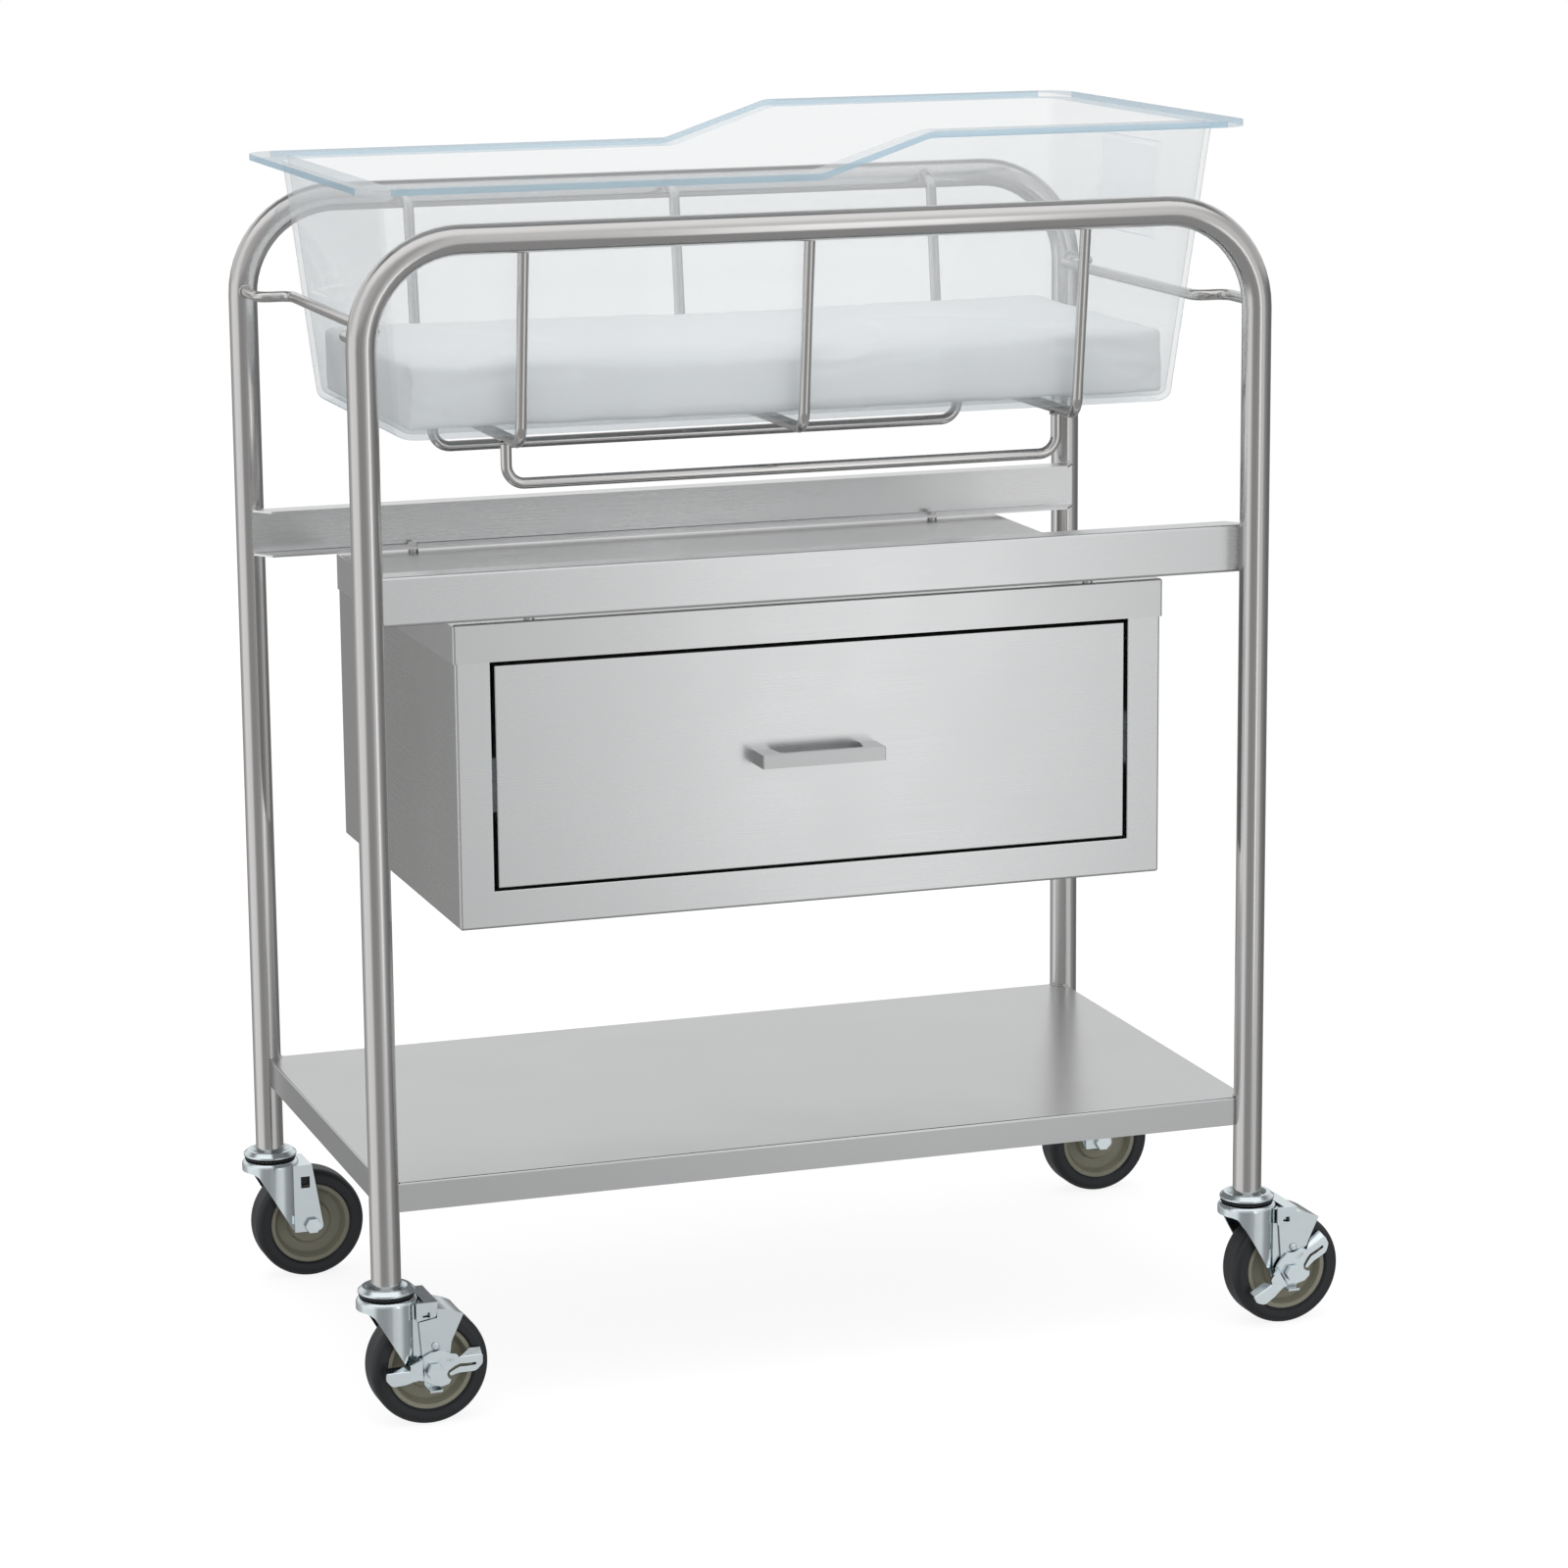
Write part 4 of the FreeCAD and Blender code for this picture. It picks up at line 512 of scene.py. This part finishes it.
# Painted shade: the ring is near black, standing in for the shade in the gap between the cap and
# the dome.
ring_painted_shade = satin("ring_steel_painted_shade", (0.06, 0.06, 0.065), (800, 800, 800), 0.42, 0.25, 60.0, 0.00004)
for corner, (sx, sy) in {
    "front_left": (-1, -1), "rear_left": (-1, 1), "front_right": (1, -1), "rear_right": (1, 1),
}.items():
    mesh = bmesh.new()
    rims = [
        [
            mesh.verts.new((
                mid_x + sx * leg_x + toothed(radius, i) * math.cos(math.tau * i / RING_STEPS),
                sy * leg_y + toothed(radius, i) * math.sin(math.tau * i / RING_STEPS),
                height,
            ))
            for i in range(RING_STEPS)
        ]
        for radius, height in RING_PROFILE
    ]
    for inner, outer in zip(rims, rims[1:] + rims[:1]):
        for i in range(RING_STEPS):
            j = (i + 1) % RING_STEPS
            mesh.faces.new((inner[i], inner[j], outer[j], outer[i]))
    bmesh.ops.recalc_face_normals(mesh, faces=mesh.faces)
    data = bpy.data.meshes.new(f"{corner}_dust_ring")
    mesh.to_mesh(data)
    mesh.free()
    ring_piece = bpy.data.objects.new(f"{corner}_dust_ring", data)
    scene.collection.objects.link(ring_piece)
    data.materials.append(ring_painted_shade)
    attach(ring_piece, "carrier")

# ---------------------------------------------------------------- words on the brake levers

# The plated brake levers are pressed with ON and OFF, which stand a little proud of the plate.
# The left lever stands level, which is on; the right one stands tilted by 30 degrees, which is off.
wheel_r = 0.0508
trail = 0.033
word_place = (0.0140, -0.0250, 0.0076)
caster_turn = Matrix.Rotation(math.radians(1), 4, "Z")
for corner, word, sx, tilt in (("front_left", "ON", -1, 0), ("front_right", "OFF", 1, 30)):
    letters = bpy.data.curves.new(f"{corner}_brake_word", "FONT")
    letters.body = word
    letters.size = 0.0046
    letters.extrude = 0.00025
    letters.bevel_depth = 0.0001
    letters.align_x = "CENTER"
    letters.align_y = "CENTER"
    stamp = bpy.data.objects.new(f"{corner}_brake_word", letters)
    scene.collection.objects.link(stamp)
    letters.materials.append(smooth_zinc_painted_light)
    stamp.matrix_world = (
        Matrix.Translation((mid_x + sx * leg_x, -leg_y, wheel_r))
        @ caster_turn
        @ Matrix.Translation((trail, 0, 0))
        @ Matrix.Rotation(math.radians(-tilt), 4, "Y")
        @ Matrix.Translation(word_place)
        @ Matrix.Rotation(math.radians(90), 4, "X")
    )
    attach(stamp, f"{corner}_brake_lever")

# ---------------------------------------------------------------- tub and card holder

# One clear acrylic tub, drawn from sheet, its rim flanged out and polished.
# It is thin enough to show hardly any bending of what stands behind it.
# A pocket of thinner acrylic on its head end wall holds the card.


def acrylic(label, haze, clear, rim=None):
    """Clear sheet: a faint milkiness, a blue tint seen edge on, and bright blue polished edges.

    The rim is how far the polished edges lie from the middle, along X and Y.
    """
    finish = Finish(bpy.data.materials.new(label))

    def transparent(colour):
        return finish.node("ShaderNodeBsdfTransparent", {}, {"Color": colour})

    def mixed(share, first, second):
        return finish.node("ShaderNodeMixShader", {}, (share, first, second))

    edge_on = finish.node("ShaderNodeLayerWeight", {}, {"Blend": 0.5}, out="Facing")
    plain = transparent((clear, clear + 0.004, clear + 0.006, 1))
    tinted = transparent((0.52, 0.66, 0.76, 1))
    glazing = mixed(finish.ramp(edge_on, (0.74, 0.0), (0.90, 0.18), (1.0, 1.0)), plain, tinted)
    milk_white = {"Color": (0.94, 0.955, 0.965, 1)}
    front = finish.node("ShaderNodeBsdfDiffuse", {}, milk_white)
    back = finish.node("ShaderNodeBsdfTranslucent", {}, milk_white)
    milk = mixed(0.5, front, back)
    veil = finish.ramp(
        edge_on, (0.0, haze), (0.6, haze * 1.1), (0.9, haze * 1.5), (1.0, haze * 1.8)
    )
    glazing = mixed(veil, glazing, milk)
    if rim:
        place = finish.node("ShaderNodeTexCoord", out="Object")
        place_x, place_y = (
            finish.node("ShaderNodeSeparateXYZ", {}, {0: place}, out=axis) for axis in (0, 1)
        )
        past_ends = finish.node("ShaderNodeMath", {"operation": "ABSOLUTE"}, (place_x - mid_x,))
        past_sides = finish.node("ShaderNodeMath", {"operation": "ABSOLUTE"}, (place_y,))
        past = finish.node(
            "ShaderNodeMath",
            {"operation": "MAXIMUM"},
            (past_ends - rim[0], past_sides - rim[1]),
        )
        edge = finish.node("ShaderNodeMath", {"operation": "GREATER_THAN"}, (past, 0.0))
        blue = finish.node("ShaderNodeBsdfDiffuse", {}, {"Color": (0.62, 0.78, 0.85, 1)})
        glazing = mixed(edge, glazing, mixed(0.36, tinted, blue))
    shine = finish.node(
        "ShaderNodeBsdfGlossy", {}, {"Color": (0.95, 0.97, 0.98, 1), "Roughness": 0.04}
    )
    mirror = finish.ramp(
        edge_on, (0.0, 0.1 * haze), (0.6, 0.3 * haze), (0.85, 0.16), (1.0, 0.5)
    )
    return finish.end(mixed(mirror, glazing, shine))


coat(acrylic("acrylic_tub", 0.14, 0.98, rim=(0.3894, 0.2179)), "basket_tub")
coat(acrylic("acrylic_holder", 0.012, 0.99), "card_holder")
ease_edges(0.0005, "basket_tub")
for label in ("basket_tub", "card_holder"):
    nodes[label].visible_shadow = False

# ---------------------------------------------------------------- mattress

# A foam slab in a soft coated cover, sewn round its lower edge and up its corners.
# It lies loose on the tub's floor.
CORNER = 0.007
INSET = 0.0030
GRID = 0.0046
LAST_FRAME = 20
LARGEST_MOVE = 0.003


def slab(low, high, corner, inset):
    """A closed box with rounded upright corners."""
    mesh = bmesh.new()
    half = [(b - a) / 2 - inset for a, b in zip(low, high)]
    middle = [(a + b) / 2 for a, b in zip(low, high)]
    rings = []
    for side in (-1, 1):
        outline = []
        for quarter, (sx, sy) in enumerate(((1, 1), (-1, 1), (-1, -1), (1, -1))):
            for step in range(7):
                angle = math.radians(90 * quarter + 15 * step)
                outline.append(mesh.verts.new((
                    middle[0] + sx * (half[0] - corner) + corner * math.cos(angle),
                    middle[1] + sy * (half[1] - corner) + corner * math.sin(angle),
                    middle[2] + side * half[2],
                )))
        rings.append(outline)
    bottom, top = rings
    for i in range(len(bottom)):
        j = (i + 1) % len(bottom)
        mesh.faces.new((bottom[i], bottom[j], top[j], top[i]))
    mesh.faces.new(top)
    mesh.faces.new(bottom[::-1])
    data = bpy.data.meshes.new("mattress")
    mesh.to_mesh(data)
    mesh.free()
    return data


def applied(piece):
    """Puts a piece's modifiers into its mesh."""
    graph = bpy.context.evaluated_depsgraph_get()
    data = bpy.data.meshes.new_from_object(piece.evaluated_get(graph))
    piece.modifiers.clear()
    piece.data = data


low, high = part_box("mattress_cover")
mattress = bpy.data.objects.new("mattress", slab(low, high, CORNER, INSET))
scene.collection.objects.link(mattress)
grid = mattress.modifiers.new("grid", "REMESH")
grid.mode = "VOXEL"
grid.voxel_size = GRID
applied(mattress)
start = [vertex.co.copy() for vertex in mattress.data.vertices]
swell = mattress.modifiers.new("swell", "CLOTH")
swell.settings.quality = 6
swell.settings.mass = 0.25
swell.settings.tension_stiffness = 12
swell.settings.compression_stiffness = 6
swell.settings.bending_stiffness = 0.3
swell.settings.use_pressure = True
swell.settings.uniform_pressure_force = 1.3
swell.settings.shrink_min = -0.035
swell.settings.effector_weights.gravity = 0
swell.point_cache.frame_start = 1
swell.point_cache.frame_end = LAST_FRAME
for step in range(1, LAST_FRAME + 1):
    scene.frame_set(step)
applied(mattress)
scene.frame_set(1)
for vertex, first in zip(mattress.data.vertices, start):
    moved = vertex.co - first
    if moved.length > LARGEST_MOVE:
        vertex.co = first + moved * (LARGEST_MOVE / moved.length)


def valley(point, path, width):
    """1 on a line through some points, falling to 0 beside it."""
    best = 1e9
    for a, b in zip(path, path[1:]):
        share = max(0, min(1, (point - a).dot(b - a) / (b - a).length_squared))
        best = min(best, (point - a - (b - a) * share).length)
    return math.exp(-((best / width) ** 2))


# Folds in the cover, each with the points it runs through, its width and its depth.
middle = [(a + b) / 2 for a, b in zip(low, high)]
half = [(b - a) / 2 for a, b in zip(low, high)]
mid, front, foot, head = middle[0], low[1], low[0], high[0]
base, top = low[2], high[2]
FOLDS = [
    ([(mid + 0.01, front, top - 0.018), (mid + 0.05, front + 0.008, top - 0.004),
      (mid + 0.10, front + 0.05, top), (mid + 0.12, front + 0.12, top)], 0.010, 0.0050),
    ([(mid - 0.06, front + 0.03, top), (mid + 0.02, front + 0.09, top),
      (mid + 0.06, front + 0.16, top)], 0.012, 0.0040),
    ([(mid + 0.02, front, top - 0.024), (mid + 0.07, front, top - 0.016),
      (mid + 0.13, front, top - 0.010)], 0.005, 0.0022),
    ([(foot, front + 0.01, top - 0.02), (foot + 0.05, front + 0.01, top - 0.004),
      (foot + 0.11, front + 0.05, top)], 0.008, 0.0045),
    ([(foot + 0.03, front, top - 0.024), (foot + 0.09, front, top - 0.016),
      (foot + 0.15, front, top - 0.014)], 0.006, 0.0020),
    ([(foot + 0.007, front, top - 0.006), (foot + 0.007, front, base + 0.010)], 0.0026, 0.0022),
    ([(foot, front + 0.008, top - 0.010), (foot, front + 0.010, base + 0.012)], 0.0035, 0.0030),
    ([(foot, front + 0.020, top - 0.030), (foot + 0.004, front, base + 0.022)], 0.0040, 0.0024),
    ([(foot + 0.006, front, base + 0.034), (foot + 0.024, front, base + 0.030)], 0.0035, 0.0018),
    ([(foot + 0.006, front, base + 0.020), (foot + 0.030, front, base + 0.015)], 0.0035, 0.0018),
    ([(head - 0.060, front, base + 0.046), (head - 0.010, front, base + 0.036)], 0.0040, 0.0028),
    ([(head - 0.045, front, base + 0.026), (head - 0.004, front, base + 0.020)], 0.0035, 0.0034),
    ([(head - 0.028, front, base + 0.008), (head - 0.010, front, base + 0.018),
      (head - 0.002, front, base + 0.030)], 0.0035, 0.0034),
    ([(head - 0.016, front, base + 0.014), (head - 0.004, front, base + 0.008)], 0.0030, 0.0034),
    ([(head - 0.12, front + 0.06, top), (head - 0.05, front + 0.03, top),
      (head, front + 0.02, top - 0.02)], 0.010, 0.0042),
    ([(head - 0.10, front, top - 0.012), (head - 0.04, front, top - 0.020)], 0.006, 0.0024),
    ([(foot + 0.16, front + 0.10, top), (foot + 0.10, front + 0.20, top)], 0.014, 0.0030),
    ([(head - 0.20, front + 0.20, top), (head - 0.10, front + 0.14, top)], 0.014, 0.0030),
]
FOLDS = [([Vector(point) for point in path], width, depth) for path, width, depth in FOLDS]
SEAM_Z, SEAM_WIDTH, SEAM_DEPTH = base + 0.009, 0.0016, 0.0011
SAG_X, SAG_WIDTH, SAG_DEPTH = 0.03, 0.16, 0.0035
MARGIN = 0.0004
mattress.data.update()
normals = [vertex.normal.copy() for vertex in mattress.data.vertices]
for vertex, normal in zip(mattress.data.vertices, normals):
    point = vertex.co.copy()
    push = 0.0012 * noise.noise(point * 22) + 0.0006 * noise.noise(point * 60)
    for path, width, depth in FOLDS:
        push -= depth * valley(point, path, width)
    push -= SEAM_DEPTH * math.exp(-(((point.z - SEAM_Z) / SEAM_WIDTH) ** 2))
    across = math.exp(-(((point.x - mid - SAG_X) / SAG_WIDTH) ** 2))
    sag = across * max(0, (point.z - middle[2]) / half[2])
    spot = point + normal * push - Vector((0, 0, SAG_DEPTH * sag))
    vertex.co = [max(a + MARGIN, min(b - MARGIN, c)) for a, b, c in zip(low, high, spot)]
smoother = mattress.modifiers.new("smoother", "SUBSURF")
smoother.levels = smoother.render_levels = 1
applied(mattress)
for face in mattress.data.polygons:
    face.use_smooth = True

cloth = Finish(bpy.data.materials.new("coated_cloth"))
cloth_place = cloth.node("ShaderNodeTexCoord", out="Object")
weave, cloud = (
    cloth.node("ShaderNodeTexNoise", {}, {"Vector": cloth_place, "Scale": scale, "Detail": detail})
    for scale, detail in ((900.0, 2.0), (9.0, 3.0))
)
woven = cloth.node("ShaderNodeBump", {}, {"Strength": 0.25, "Distance": 0.0002, "Height": weave})
mattress.data.materials.append(cloth.end(cloth.node("ShaderNodeBsdfPrincipled", {}, {
    "Base Color": cloth.mix(cloud, (0.715, 0.745, 0.76, 1), (0.77, 0.785, 0.79, 1)),
    "Roughness": 0.62 + cloud * 0.12,
    "Specular IOR Level": 0.3,
    "Normal": woven,
})))
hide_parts("mattress_cover", "mattress_foam")
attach(mattress, "mattress")
